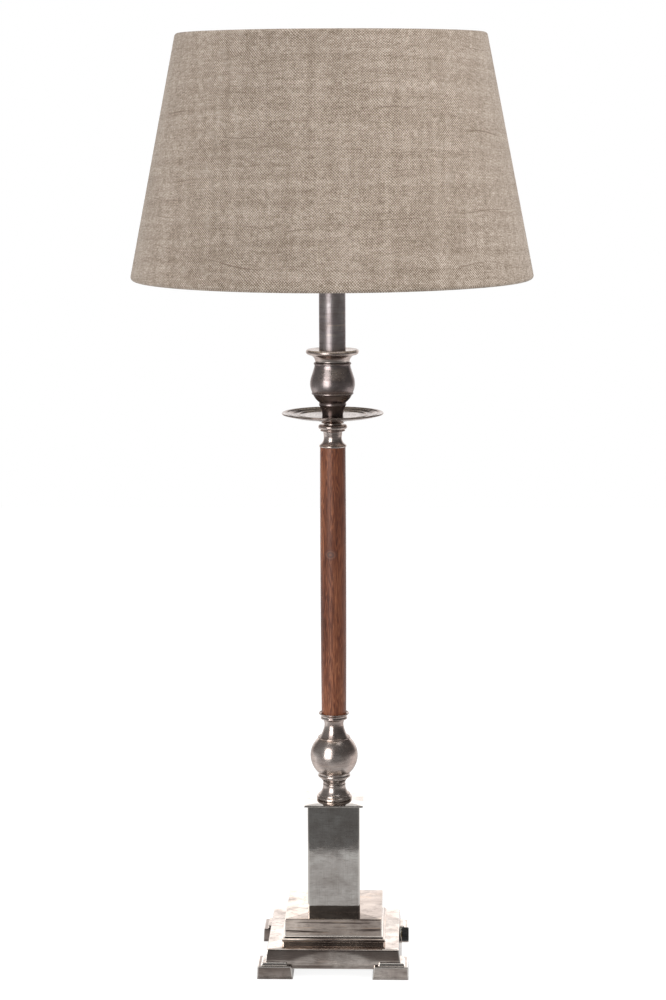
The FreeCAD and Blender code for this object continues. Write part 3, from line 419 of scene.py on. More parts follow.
# Noise of the metals, the wood and the felt: how the place is stretched and shifted, then the
# noise's scale, detail, roughness and distortion. A stretch below 1 draws it out that way.
STILL = (0, 0, 0)
PATTERNS = {
    "cloud": ((1, 1, 1), STILL, 40.0, 4.0, 0.6, 0.6),
    "fine": ((0.12, 0.12, 1), STILL, 1500.0, 3.0, 0.6, 0.0),
    "dark streaks": ((22, 22, 620), (3, 1, 2), 1.0, 4.0, 0.62, 0.25),
    "pale streaks": ((30, 30, 420), (0, 7, 5), 1.0, 3.0, 0.6, 0.2),
    "patches": ((0.7, 0.7, 1), (0.4, 0.2, 0), 130.0, 4.0, 0.55, 0.2),
    "specks": ((1, 1, 1), (0.1, 0.6, 0), 420.0, 3.0, 0.6, 0.0),
    "brushing": ((1300, 1300, 60), STILL, 1.0, 3.0, 0.6, 0.0),
    "scratches": ((1, 1, 1), (0.2, 0, 0.3), 46.0, 3.0, 0.5, 1.2),
    "ripple": ((1, 1, 1), STILL, 42.0, 2.0, 0.5, 0.0),
    "wood curves": ((1, 1, 0.06), STILL, 170.0, 3.0, 0.55, 0.3),
    "wood streaks": ((1, 1, 0.02), (0.3, 0.1, 0), 1100.0, 3.0, 0.6, 0.3),
    "wood pores": ((1, 1, 0.07), STILL, 3000.0, 2.0, 0.5, 0.0),
    "wood bands": ((1, 1, 0.12), (0.7, 0, 0), 90.0, 2.0, 0.5, 0.0),
    "fuzz": ((1, 1, 1), STILL, 3000.0, 3.0, 0.55, 0.0),
}


class Finish(Graph):
    """One procedural material."""

    def __init__(self, name, **constants):
        self.material = bpy.data.materials.new(name)
        self.material.use_nodes = True
        super().__init__(self.material.node_tree)
        self.shader = self.tree.nodes["Principled BSDF"]
        self.paint(**constants)

    def place(self, scale=(1, 1, 1), shift=STILL, source="Object"):
        """Object coordinates in metres, or another source, scaled and shifted."""
        where = self.node("ShaderNodeTexCoord", output=source)
        inputs = {"Vector": where, "Location": shift, "Scale": scale}
        return self.node("ShaderNodeMapping", inputs, vector_type="POINT")

    def noise(self, where, scale, detail, roughness, distortion=0.0):
        return self.node("ShaderNodeTexNoise", {
            "Vector": where, "Scale": scale, "Detail": detail, "Roughness": roughness,
            "Distortion": distortion,
        }, "Fac")

    def pattern(self, name):
        stretch, shift, *grain = PATTERNS[name]
        return self.noise(self.place(stretch, shift), *grain)

    def mix(self, factor, first, second):
        inputs = {0: factor, 6: first, 7: second}
        return self.node("ShaderNodeMix", inputs, 2, data_type="RGBA", clamp_factor=True)

    def ramp(self, factor, *stops):
        """A colour from stops of (place, red, green, blue)."""
        stops = [(place, srgb(*colour)) for place, *colour in stops]
        return self.node("ShaderNodeValToRGB", {0: factor}, stops=stops)

    def layer(self, name):
        return self.node("ShaderNodeAttribute", output="Fac", attribute_name=name)

    def bump(self, height, strength, distance):
        inputs = {"Height": height, "Strength": strength, "Distance": distance}
        return self.node("ShaderNodeBump", inputs)

    def paint(self, **sockets):
        for socket, value in sockets.items():
            self.feed(self.shader.inputs[socket.replace("_", " ")], value)
        return self.material


# ---------------- finishes

PALE_STREAK, PALE_SPECK = srgb(244, 216, 192), srgb(236, 212, 190)
# the rubbed-edge colour is near white: real rubbing and a painted highlight
SCRATCH, RUBBED_AND_HIGHLIT = srgb(232, 228, 222), srgb(246, 240, 234)
RINGS_PER_METRE = 900  # turning marks on the spun pan


def antique_silver(
    name, tones, stain_and_shade, rough, blotches, wave, rub_and_highlight, streaks=0.0, brushing=0.0, lathe=0.0,
    spun=0.0, rim=1.0, painted_side_shade=None,
):
    """Silver plate polished long ago: brown bloom, stains, painted shade, rubbed and highlit edges.

    tones: the metal's dark, middle and pale colour; stain_and_shade: colour of the stains and
    of painted shade; rough: how dull it is; blotches: round stains; wave: depth of its ripples;
    rub_and_highlight: how bright the rubbed edges are, with their painted highlight; streaks:
    level stains; brushing: upright grain of a sheet; lathe: how far turning marks draw highlights
    out upwards; spun: fine rings about the axis; rim: what the bloom leaves of a glancing
    reflection; painted_side_shade: two places across the front between which painted shade
    sets in, and how strong it is.
    """
    finish = Finish(
        name, Metallic=1.0, Anisotropic=lathe, Anisotropic_Rotation=0.25,
        Specular_Tint=(rim, rim * 0.96, rim * 0.94, 1),
    )
    dark, middle, pale = tones
    metal = finish.ramp(finish.pattern("cloud"), (0.34, *dark), (0.5, *middle), (0.66, *pale))
    stain_and_shade = srgb(*stain_and_shade)
    fine = finish.pattern("fine")
    metal = finish.mix(fine.within(0.48, 0.72) * 0.35, metal, stain_and_shade)
    gloss = rough + fine.within(0.4, 0.75) * 0.03
    if streaks:
        streak = finish.pattern("dark streaks")
        metal = finish.mix(streak.within(0.5, 0.66) * streaks, metal, stain_and_shade)
        gloss = gloss + streak.within(0.5, 0.7) * 0.06
        streak = finish.pattern("pale streaks").within(0.54, 0.68)
        metal = finish.mix(streak * streaks * 0.8, metal, PALE_STREAK)
    patch = finish.pattern("patches")
    metal = finish.mix(patch.within(0.4, 0.68) * blotches, metal, stain_and_shade)
    speck = finish.pattern("specks").within(0.6, 0.72)
    metal = finish.mix(speck * blotches * 0.35, metal, PALE_SPECK)
    gloss = gloss + patch.within(0.45, 0.7) * 0.06
    if brushing:
        upright = finish.pattern("brushing").within(0.45, 0.75)
        metal = finish.mix(upright * brushing, metal, stain_and_shade)
        off_line = (finish.pattern("scratches") - 0.5).maths("ABSOLUTE")
        scratch = 1 - off_line.within(0.0, 0.006)
        metal = finish.mix(scratch * brushing * 0.6, metal, SCRATCH)
    if spun:
        x, y = finish.axes(finish.place())[:2]
        reach = (x * x + y * y).maths("SQRT")
        ring = finish.noise(finish.spot(reach * RINGS_PER_METRE, 4.0), 1.0, 3.0, 0.6)
        metal = finish.mix(ring.within(0.4, 0.66) * spun, metal, stain_and_shade)
        gloss = gloss + ring.within(0.45, 0.7) * 0.1
    # painted shade over the front, fading in between two places across it
    if painted_side_shade:
        start, stop, share = painted_side_shade
        across = finish.axes(finish.place())[0]
        metal = finish.mix(across.within(start, stop) * share, metal, stain_and_shade)
    # painted shade where a piece is marked for it, in the stain colour
    metal = finish.mix(finish.layer("tarnish") * 0.75, metal, stain_and_shade)
    # rubbed edges, lightened further as a painted highlight
    metal = finish.mix(finish.layer("worn") * rub_and_highlight, metal, RUBBED_AND_HIGHLIT)
    ripple = finish.pattern("ripple") + fine * 0.05
    return finish.paint(Base_Color=metal, Roughness=gloss, Normal=finish.bump(ripple, 0.3, wave))


KNOT, KNOT_SQUASH = (-0.0017, -0.0094, 0.3183), 1.2  # where it is, and how wide for its height
KNOT_CORE, KNOT_EDGE, KNOT_RING = 0.0012, 0.0062, 0.0027


def rosewood():
    """Red-brown wood: long grain in nested curves, dark pores and one small swirled knot."""
    finish = Finish("rosewood", Coat_Weight=0.08, Coat_Roughness=0.35, Specular_IOR_Level=0.3)
    away = finish.node("ShaderNodeVectorMath", {
        0: finish.place((1, 1, KNOT_SQUASH)), 1: (*KNOT[:2], KNOT[2] * KNOT_SQUASH),
    }, "Value", operation="DISTANCE")
    near = 1 - away.within(KNOT_CORE, KNOT_EDGE)
    swirl = (away * (FULL_TURN / KNOT_RING)).maths("SINE") * near
    bent = finish.pattern("wood curves") - away.within(0.001, 0.012) * 0.03
    curves = (bent * 110).maths("SINE") * 0.5 + 0.5
    streak, pores = finish.pattern("wood streaks"), finish.pattern("wood pores")
    broad = finish.pattern("wood bands")
    shade = broad * 0.36 + streak * 0.22 + curves * (1 - near) * 0.14 + swirl * 0.12 + 0.13
    wood = finish.ramp(
        shade, (0.34, 64, 32, 20), (0.43, 97, 51, 33), (0.52, 132, 76, 50), (0.64, 172, 111, 76),
    )
    wood = finish.mix(pores.within(0.5, 0.64) * 0.5, wood, srgb(62, 36, 27))
    # painted shade: the right side of the rod darker, as if lit from the left
    right = finish.axes(finish.place())[0].within(-0.006, 0.008)
    wood = finish.mix(right * 0.55, wood, srgb(72, 42, 31))
    wood = finish.mix(near * 0.4, wood, srgb(124, 98, 90))
    rough = 0.4 + pores.within(0.5, 0.7) * 0.2
    relief = streak * 0.4 + pores * 0.5 + swirl * 0.2
    return finish.paint(Base_Color=wood, Roughness=rough, Normal=finish.bump(relief, 0.3, 0.0003))


THREAD = 0.00095  # distance from one yarn of the linen to the next
WANDER = 0.004  # how far the yarns stray


def linen():
    """Coarse natural linen: a plain weave of uneven yarns, cloudy, with a few long slubs."""
    finish = Finish(
        "natural linen", Sheen_Weight=0.15, Sheen_Roughness=0.5, Roughness=0.92,
        Specular_IOR_Level=0.12,
    )
    across, along = finish.axes(finish.place(source="UV"))[:2]

    def patches(wide, high, shift=0.0, detail=3.0):
        """Noise with about so many patches to the metre, across and along."""
        where = finish.place((wide, high, 1), (shift, shift, 0), "UV")
        return finish.noise(where, 1.0, detail, 0.58)

    wander = (patches(35, 35, 4.0, 2.0) - 0.5) * WANDER
    turns = math.pi / THREAD
    over, under = ((axis + wander) * turns for axis in (across, along))
    weave = over.maths("SINE") * under.maths("SINE")
    weft, warp = patches(170, 900), patches(860, 170, 5.0)
    grain = patches(800, 800, 11.0, 2.0)
    yarns = [(axis / THREAD).maths("FLOOR") for axis in (across, along)]
    crossing = finish.node(
        "ShaderNodeTexWhiteNoise", {"Vector": finish.spot(*yarns)}, noise_dimensions="2D",
    )
    cloud = patches(45, 75, 17.0, 4.0)
    stripe, course = patches(130, 6, 23.0, 2.0), patches(7, 170, 37.0, 2.0)
    tone = 0.475 + weave * 0.36
    for layer, share in (
        (weft, 0.66), (warp, 0.5), (grain, 0.3), (crossing, 0.16), (cloud, 0.2), (stripe, 0.24),
        (course, 0.3),
    ):
        tone = tone + (layer - 0.5) * share
    cloth = finish.ramp(
        tone, (0.08, 98, 83, 68), (0.36, 142, 127, 112), (0.56, 170, 155, 141),
        (0.92, 214, 201, 189),
    )
    bowed = along + (patches(9, 9, 31.0, 1.0) - 0.5) * 0.03
    slub = finish.noise(finish.spot(across * 11, bowed * 680, 3.0), 1.0, 2.0, 0.5)
    cloth = finish.mix(slub.within(0.635, 0.73) * 0.6, cloth, srgb(108, 90, 75))
    relief = weave * 0.35 + weft * 0.7 + warp * 0.5 + grain * 0.8
    return finish.paint(Base_Color=cloth, Normal=finish.bump(relief, 0.45, 0.0004))


def felt():
    finish = Finish("black felt", Roughness=1.0, Sheen_Weight=0.4)
    fuzz = finish.pattern("fuzz")
    return finish.paint(
        Base_Color=finish.ramp(fuzz, (0.3, 22, 22, 23), (0.75, 58, 58, 60)),
        Normal=finish.bump(fuzz, 0.6, 0.0003),
    )


def plain(name, darker, lighter, scale, roughness, spread=0.12, relief=0.0, **constants):
    """A moulded, pressed or painted finish with a slight change of tone and gloss."""
    finish = Finish(name, **constants)
    tone = finish.noise(finish.place(), scale, 4.0, 0.6)
    if relief:
        finish.paint(Normal=finish.bump(tone, 0.4, relief))
    return finish.paint(
        Base_Color=finish.ramp(tone, (0.3, *darker), (0.7, *lighter)),
        Roughness=roughness + (tone - 0.5) * spread,
    )


SHEET = antique_silver(
    "silver plated sheet", ((188, 182, 176), (208, 203, 198), (223, 220, 215)),
    (140, 129, 122), 0.035, blotches=0.3, wave=0.0003, rub_and_highlight=0.85, brushing=0.24,
)
# painted shade over the block's front, its left end lighter
BLOCK = antique_silver(
    "silver plated block", ((184, 168, 158), (222, 207, 196), (248, 233, 221)),
    (78, 66, 62), 0.06, blotches=0.1, wave=0.0003, rub_and_highlight=0.8, streaks=0.95,
    painted_side_shade=(-0.03, -0.006, 0.42),
)
CASTING = antique_silver(
    "silver plated casting", ((190, 177, 169), (213, 202, 194), (229, 220, 212)),
    (96, 82, 76), 0.08, blotches=0.35, wave=0.0004, rub_and_highlight=0.95, streaks=0.2,
)
TURNED = antique_silver(
    "antique silver turning", ((168, 152, 146), (198, 184, 177), (216, 206, 200)),
    (112, 96, 92), 0.23, blotches=0.15, wave=0.0003, rub_and_highlight=0.4, streaks=0.22, lathe=0.4,
    rim=0.62,
)
SPUN = antique_silver(
    "spun pan", ((150, 137, 131), (174, 162, 156), (194, 184, 178)),
    (98, 83, 76), 0.12, blotches=0.15, wave=0.0002, rub_and_highlight=0.5, spun=0.7, rim=0.62,
)
DARKENED = antique_silver(
    "darkened silver", ((134, 121, 118), (151, 139, 137), (167, 158, 156)),
    (100, 86, 84), 0.27, blotches=0.15, wave=0.0002, rub_and_highlight=0.1, streaks=0.1, lathe=0.3,
    rim=0.5,
)
BRUSHED = antique_silver(
    "darkened tube", ((138, 127, 126), (156, 147, 147), (172, 165, 165)),
    (98, 87, 86), 0.37, blotches=0.15, wave=0.0002, rub_and_highlight=0.3, streaks=0.3, rim=0.5,
)
WOOD = rosewood()
LINEN = linen()
FELT = felt()
LINER = plain("liner film", (222, 218, 206), (232, 229, 219), 300.0, 0.55)
WIRE = plain("white powder coat", (216, 215, 210), (229, 228, 223), 1200.0, 0.42, relief=0.0001)
ZINC = plain("zinc plate", (160, 160, 155), (196, 195, 188), 350.0, 0.34, Metallic=1.0)
IRON = plain(
    "raw casting", (48, 47, 46), (78, 75, 72), 500.0, 0.75, relief=0.0005, Metallic=0.6,
)
BRASS = plain("brass", (196, 164, 96), (216, 186, 120), 240.0, 0.26, Metallic=1.0)
HOLDER = plain("black thermoset", (18, 18, 19), (30, 30, 31), 200.0, 0.24)
KNOB = plain("black knob", (22, 21, 21), (40, 38, 37), 400.0, 0.38)
WHITE_PLASTIC = plain("white moulding", (214, 213, 205), (230, 229, 222), 200.0, 0.4)
PORCELAIN = plain("porcelain", (226, 225, 218), (238, 237, 231), 90.0, 0.16, 0.05)
ALUMINIUM = plain("bulb cap metal", (186, 187, 188), (206, 207, 208), 260.0, 0.3, Metallic=1.0)
BLACK_GLASS = plain("black glass", (14, 14, 17), (24, 24, 28), 120.0, 0.1, 0.04)
FROSTED = plain("frosted bulb glass", (236, 235, 230), (244, 243, 239), 60.0, 0.3, 0.06)
CLEAR = plain("clear glass", (226, 232, 232), (236, 240, 240), 60.0, 0.08, 0.02)
RUBBER = plain("black rubber", (24, 24, 24), (40, 40, 40), 700.0, 0.7)
BLUE = plain("blue insulation", (38, 82, 170), (50, 96, 184), 400.0, 0.38)
BROWN = plain("brown insulation", (92, 54, 34), (108, 66, 44), 400.0, 0.38)


# ---------------- the foot

FOOT_EASE, FOOT_CORNER = 0.3, 0.45
FOOT_SIDE, FOOT_TOP = 9.5, 12.1  # how high a foot's sides go, and the foot with its steps
TIER_TOP, TIER_HALF = 20.9, 49  # where the lower tier's wall ends, and its least half width
ARCH, ARCH_FOOT, ARCH_RISE = 30, 7, 13  # painted reflection: the bright arch in the middle of a tier's wall, painted shade outside it
SHADED_FOOT_EDGES, SHADED_FOOT_TOP = 0.15, 12.5  # how much of its bright edges the rear left foot keeps in its painted shade, and how far up
LONG_EDGE, TALL_EDGE = 40, 2.5  # edges beyond these lengths are cut up
LONG_CUTS, TALL_ROUNDS = 40, 3


def foot():
    """Lower tier with its four stepped feet."""
    wall = square_levels([
        (52.1, 6.7), (50.17, 20.1), (49.0, 21.3, 1.3), (6.0, 21.3), (6.0, 18.3), (47.5, 18.3),
        (47.5, 6.7),
    ])
    tier = stacked("tier", wall, 0.5, closed=True)
    steps = [  # inner side, outer side and height
        (30.1, 57.4, 0.3), (31.3, 57.0, 9.5), (31.5, 56.85, 9.85), (31.9, 56.5, 10.0),
        (34.7, 54.2, 10.0), (35.0, 53.9, 11.5), (35.7, 53.4, 12.0), (44.0, 49.0, 12.0),
    ]
    points, worn = eased([np.array(step) for step in steps], [True] * len(steps), False, FOOT_EASE)
    levels = [(low, high, low, high, z, wear_and_highlight) for (low, high, z), wear_and_highlight in zip(points, worn)]
    feet = stacked("feet", levels, FOOT_CORNER, mirror=[(-1, 1), (1, -1), (-1, -1)])
    casting = joined("foot_casting", [refined(tier), feet])
    corners = casting.data.vertices
    # painted shade and painted reflection on the feet and on the tier's walls, for the finish
    mark(casting, "tarnish", [tarnish(*(place / MM for place in corner.co)) for corner in corners])
    # painted shade: the rear left foot keeps little of its bright edges low down
    for corner, wear_and_highlight in zip(corners, casting.data.attributes["worn"].data):
        if corner.co.x < 0 < corner.co.y and corner.co.z < SHADED_FOOT_TOP * MM:
            wear_and_highlight.value *= SHADED_FOOT_EDGES
    dress(casting, CASTING, "silver_plate", "foot_plinth")


def tarnish(x, y, z):
    """How much painted shade the casting gets, from 0 to 1, at a place in millimetres.

    Of the feet the rear left one is in painted shade all over; the front left one gets more
    than the right ones, and these three darken towards their tops. Each wall of the tier has
    painted shade outside a bright arch, a painted reflection.
    """
    if z < 10:
        rise = z / FOOT_SIDE
        if x >= 0:
            return 0.4 * rise
        return 1.0 if y > 0 else 0.45 + 0.5 * rise
    if z < FOOT_TOP or z > TIER_TOP or max(abs(x), abs(y)) < TIER_HALF:
        return 0.0
    along = min(abs(x), abs(y))
    edge = 33 - ARCH * ((z - ARCH_FOOT) / ARCH_RISE) ** 3
    return min(1.0, max(0.0, (along - edge + 4) / 7))


def refined(piece):
    """Cut the long edges of a piece, so that marks on its corner points can follow its faces."""
    work = bmesh.new()
    work.from_mesh(piece.data)
    long_edges = [edge for edge in work.edges if edge.calc_length() > LONG_EDGE * MM]
    bmesh.ops.subdivide_edges(work, edges=long_edges, cuts=LONG_CUTS)
    for _ in range(TALL_ROUNDS):
        tall = [
            edge for edge in work.edges
            if abs(edge.verts[0].co.z - edge.verts[1].co.z) > TALL_EDGE * MM
        ]
        bmesh.ops.subdivide_edges(work, edges=tall, cuts=1)
    work.to_mesh(piece.data)
    work.free()
    return piece


def felt_discs():
    """One felt disc in each foot."""
    growth = Growth("felt discs", spacing=87.5 * MM, radius=9.0 * MM, thickness=1.3 * MM)
    spacing, thickness = growth.size("spacing"), growth.size("thickness")
    corners = growth.node("GeometryNodeMeshGrid", {
        "Size X": spacing, "Size Y": spacing, "Vertices X": 2, "Vertices Y": 2,
    })
    disc = growth.node("GeometryNodeMeshCylinder", {
        "Vertices": 64, "Radius": growth.size("radius"), "Depth": thickness,
    })
    raised = growth.moved(disc, growth.spot(z=thickness * 0.5))
    discs = growth.node("GeometryNodeInstanceOnPoints", {"Points": corners, "Instance": raised})
    piece = growth.grown("felt_discs", discs, FELT)
    piece.data.set_sharp_from_angle(angle=SHARP_FELT)
    dress(piece, FELT, "felt", "felt_pads")


def plinth():
    """Middle tier: lip, cove and plain block, hollow below."""
    levels = square_levels([
        (38.4, 21.35), (38.4, 23.3), (39.1, 23.8), (39.1, 25.5, 0.95), (37.6, 27.3, -3.2),
        (37.0, 27.7), (36.8, 40.4), (36.2, 41.0, 0.6), (6.0, 41.0), (6.0, 38.0), (33.6, 38.0),
        (33.6, 21.35),
    ])
    block = stacked("plinth_block", levels, 0.4, closed=True)
    dress(block, BLOCK, "silver_plate", "middle_plinth")


def column():
    """Square tube and its cap plate."""
    levels = square_levels([(20, 41.05), (20, 124.55), (18.4, 124.55), (18.4, 41.05)])
    sheet = stacked("column_sheet", levels, 0.8, closed=True)
    dress(sheet, SHEET, "silver_plate", "column_tube")
    levels = square_levels([
        (22.3, 124.6), (22.6, 124.9, 0.35), (22.6, 125.6), (22.2, 126.0, 0.45), (6.0, 126.0),
        (6.0, 121.6), (18.1, 121.6), (18.1, 124.6),
    ])
    cap = stacked("cap_plate", levels, 0.5, closed=True)
    dress(cap, SHEET, "silver_plate", "column_cap")


# ---------------- the stem

CORE = 5.3  # radius of the bore for the tie rod

# Name of the piece, its node, its finish, how many corners go round it, and its outline.
STEM = [
    ("knop_cone", "knop_foot", TURNED, 128, [
        (CORE, 126.05), (12.9, 126.05), (12.5, 128.5, 1.35), (12.0, 128.9), (12.0, 130.1, 0.8),
        (11.2, 130.4), (8.55, 136.8, -9), (8.55, 138.15, 0.9), (CORE, 138.15),
    ]),
    ("knop_ball", "ball_knop", TURNED, 128, [
        (CORE, 138.2), (8.3, 138.2), (10.4, 142.5, -9), (10.5, 143.4), (11.6, 143.4),
        (12.2, 145.2, 1.1), (11.7, 145.8), (12.3, 147.05), (12.3, 173.75, 18.15),
        (12.1, 173.9), (12.1, 175.15, 0.75), (CORE, 175.15),
    ]),
    ("rod_cup", "lower_ferrule", TURNED, 128, [
        (CORE, 175.2), (10.7, 175.2), (7.3, 184.1, -24), (8.2, 188.4, -7), (9.4, 188.9),
        (9.9, 190.7, 1.1), (9.6, 191.1), (11.3, 193.0, -3), (11.4, 193.9, 0.5), (9.5, 193.2),
        (9.5, 192.2), (6.7, 192.2), (6.7, 189.1), (CORE, 189.1),
    ]),
    ("rod_head", "upper_ferrule", TURNED, 128, [
        (CORE, 396.6), (7.0, 396.6), (7.0, 399.65), (9.9, 399.65), (9.8, 401.3, 0.95),
        (8.9, 401.9), (6.95, 408.5, -7), (7.2, 410.8), (9.2, 411.8, -2.4), (9.2, 412.5, 0.38),
        (8.5, 413.0), (9.9, 413.4), (9.9, 416.6, 1.75), (6.7, 416.9), (6.7, 417.5),
        (8.8, 418.2), (6.4, 420.6, -4), (6.4, 421.15), (CORE, 421.15),
    ]),
    ("saucer", "drip_pan", SPUN, 192, [
        (CORE, 421.2), (12, 421.2), (22, 421.5), (38.2, 424.7, 60), (38.0, 425.8, 0.62),
        (36.6, 425.65), (35.2, 424.95, 2.6), (34.6, 425.0), (32.9, 425.0, 1.3),
        (32.2, 424.75), (30.6, 424.15, 3.4), (27.6, 424.25), (25.9, 424.5, 1.8),
        (24.9, 423.9, 1.5), (17, 423.75), (CORE, 424.0),
    ]),
    ("urn", "urn_knop", DARKENED, 128, [
        (CORE, 424.05), (7.9, 424.05), (9.6, 430.6, -16), (10.0, 432.9, 1.6), (10.2, 433.7),
        (14.7, 439.2, 14), (15.3, 439.6), (15.4, 441.1, 0.85), (16.2, 452.2, 14.8),
        (14.2, 458.5), (13.5, 461.9, -12), (13.5, 463.7, 0.95), (12.6, 463.75), (CORE, 463.75),
    ]),
    ("cup", "candle_cup", TURNED, 128, [
        (CORE, 463.8), (12.4, 463.8), (13.1, 464.3), (18.2, 469.6, -5.4), (18.8, 469.9),
        (18.9, 473.4, 1.95), (10.05, 473.0), (10.05, 471.5), (CORE, 471.5),
    ]),
    ("candle", "candle_tube", BRUSHED, 128, [
        (8.95, 471.55), (9.95, 471.55), (9.95, 549.95), (8.95, 549.95),
    ]),
]
ROD = [  # its swelling is an arc of 16 m radius
    (CORE, 189.2), (6.6, 189.2), (6.6, 192.25), (9.45, 192.25), (9.65, 399.6, 16000),
    (7.1, 399.6), (7.1, 396.5), (CORE, 396.5),
]


def stem():
    for name, node, finish, around, outline in STEM:
        dress(turned(name, outline, around), finish, "silver_plate", node)
    wood = turned("rod_wood", ROD, 96, 0.3, longest=3.5)
    dress(wood, WOOD, "rosewood", "wood_rod")


# ---------------- the shade

FOOT_RING, HEAD_RING = (147.5, 529.0), (112.7, 704.5)  # middle of each ring's wire
WIRE_RADIUS, ARM_RADIUS = 1.5, 1.25
SEAT_IN, SEAT_OUT, SEAT_LOW, SEAT_TOP = 19.58, 28.8, 574.05, 575.25  # ring on the holder
LINER_IN, LINER_OUT = 1.55, 1.9  # from the wire's middle to the two faces of the liner
LINEN_IN, LINEN_OUT = 2.0, 2.7  # and to those of the cloth
HEM_END = 25  # degrees short of half a turn at which the hem ends
RISE, INWARD = HEAD_RING[1] - FOOT_RING[1], FOOT_RING[0] - HEAD_RING[0]
SLANT = math.hypot(RISE, INWARD)
UP, OUT = (-INWARD / SLANT, RISE / SLANT), (RISE / SLANT, INWARD / SLANT)
SPREAD = INWARD / SLANT  # share of a full turn that the unrolled cloth covers
APEX = FOOT_RING[0] / math.sin(math.atan2(INWARD, RISE))  # slant from the cone's tip down
CLOTH_AROUND, CLOTH_RISE, HEM_STEPS = 360, 44, 12
WAVES, WAVE_SIZES, WAVE_LEAN = (2, 3, 5, 7, 11, 17), (0.05, 0.16), 0.013  # uneven cloth
BOW = 0.3  # share of the unrolled curve that the cross threads show


def from_ring(ring, out, up):
    """A place of the shade's section, from a ring, square to the wall and up along it."""
    return ring[0] + OUT[0] * out + UP[0] * up, ring[1] + OUT[1] * out + UP[1] * up


def cloth_line():
    """Middle line of the cloth: behind the lower wire, round it, up, round the upper wire."""
    middle = (LINEN_IN + LINEN_OUT) / 2
    hem = 180 - HEM_END

    def rolled(ring, degrees):
        turn = math.radians(degrees)
        return from_ring(ring, middle * math.cos(turn), middle * math.sin(turn))

    lower = [rolled(FOOT_RING, -hem + hem * step / HEM_STEPS) for step in range(HEM_STEPS + 1)]
    wall = [
        from_ring(FOOT_RING, middle, SLANT * step / CLOTH_RISE) for step in range(1, CLOTH_RISE)
    ]
    upper = [rolled(HEAD_RING, hem * step / HEM_STEPS) for step in range(HEM_STEPS + 1)]
    return lower + wall + upper


def linen_cover():
    """The linen on its frame, a closed sheet rolled over both wires and slightly uneven."""
    random.seed(7)
    line = cloth_line()
    run = [0.0]
    for before, here in zip(line, line[1:]):
        run.append(run[-1] + math.hypot(here[0] - before[0], here[1] - before[1]))
    waves = [(random.uniform(0, 6.3), random.uniform(*WAVE_SIZES), count) for count in WAVES]
    thickness = LINEN_OUT - LINEN_IN
    layers = []
    for side in (0.5, -0.5):
        rows = []
        for index, (radius, height) in enumerate(line):
            before, after = line[max(index - 1, 0)], line[min(index + 1, len(line) - 1)]
            along = np.array([after[0] - before[0], after[1] - before[1]])
            along /= np.linalg.norm(along)
            normal = np.array([along[1], -along[0]])
            held = math.sin(math.pi * min(1, run[index] / run[-1]))  # by the two wires
            row = []
            for step in range(CLOTH_AROUND):
                turn = FULL_TURN * step / CLOTH_AROUND - math.pi / 2
                sag = sum(
                    size * math.sin(turn * count + start + height * WAVE_LEAN)
                    for start, size, count in waves
                )
                sag *= 0.55 * held
                reach, level = np.array([radius, height]) + normal * (side * thickness + sag * 0.35)
                row.append((reach * math.cos(turn) * MM, reach * math.sin(turn) * MM, level * MM))
            rows.append(row)
        layers.append(rows)
    outer, inner = layers
    rows = outer + inner[::-1]
    places = [place for row in rows for place in row]
    cover = new_piece("linen_cover", places, bands(equal_rings(len(rows), CLOTH_AROUND), True))
    lay_cloth_map(cover)
    return cover


def lay_cloth_map(piece):
    """UV map in metres: the cone unrolled flat, its straight grain down the middle in front."""
    mesh = piece.data
    layer = mesh.uv_layers.new(name="cloth")
    apex_height = FOOT_RING[1] * MM + APEX * MM * (RISE / SLANT)
    places = np.array([vertex.co for vertex in mesh.vertices])
    for polygon in mesh.polygons:
        centre_turn = math.atan2(polygon.center.x, -polygon.center.y)
        for loop in polygon.loop_indices:
            x, y, z = places[mesh.loops[loop].vertex_index]
            turn = math.atan2(x, -y)
            if turn - centre_turn > math.pi:
                turn -= FULL_TURN
            elif centre_turn - turn > math.pi:
                turn += FULL_TURN
            reach = math.hypot(math.hypot(x, y), apex_height - z)
            level = 1 - BOW * (1 - math.cos(turn * SPREAD))
            layer.data[loop].uv = (reach * math.sin(turn * SPREAD), -reach * level)


def ring_sizes(ring):
    return {"reach": ring[0] * MM, "height": ring[1] * MM, "wire": WIRE_RADIUS * MM}


def carrier_wires():
    """The lower ring of the frame and its arms, each bent down from the seat ring."""
    growth = Growth(
        "carrier wires", **ring_sizes(FOOT_RING), arms=3, arm_wire=ARM_RADIUS * MM,
        arm_start=26.9 * MM, bend_at=33.28 * MM, seat_height=574.65 * MM, bend=12.0 * MM,
        arm_end=147.0 * MM, end_height=529.25 * MM,
    )
    hoop = growth.hoop()
    number = growth.node("GeometryNodeInputIndex")

    def station(name, height):
        return growth.spot(x=growth.size(name), z=growth.size(height))

    def after(count, first, then):
        """One place up to this point of the arm, and another past it."""
        past = growth.node(
            "FunctionNodeCompare", {2: number, 3: count}, data_type="INT",
            operation="GREATER_THAN",
        )
        inputs = {"Switch": past, "False": first, "True": then}
        return growth.node("GeometryNodeSwitch", inputs, input_type="VECTOR")

    start, bend = station("arm_start", "seat_height"), station("bend_at", "seat_height")
    spot = after(0, start, after(1, bend, station("arm_end", "end_height")))
    stations = growth.node("GeometryNodeMeshLine", {"Count": 3})
    placed = growth.node("GeometryNodeSetPosition", {"Geometry": stations, "Position": spot})
    path = growth.node("GeometryNodeMeshToCurve", {"Mesh": placed})
    bent = growth.node("GeometryNodeFilletCurve", {
        "Curve": path, "Radius": growth.size("bend"), "Limit Radius": True,
    })
    arm = growth.wire(bent, growth.size("arm_wire"), caps=True)
    arms = growth.size("arms")
    spokes = growth.node("GeometryNodeMeshLine", {"Count": arms, "Offset": (0.0, 0.0, 0.0)})
    turn = number / arms * FULL_TURN
    around = growth.node("GeometryNodeInstanceOnPoints", {
        "Points": spokes, "Instance": arm, "Rotation": growth.spot(z=turn),
    })
    both = growth.node("GeometryNodeJoinGeometry", {"Geometry": [hoop, around]})
    return growth.grown("carrier_wires", both, WIRE)


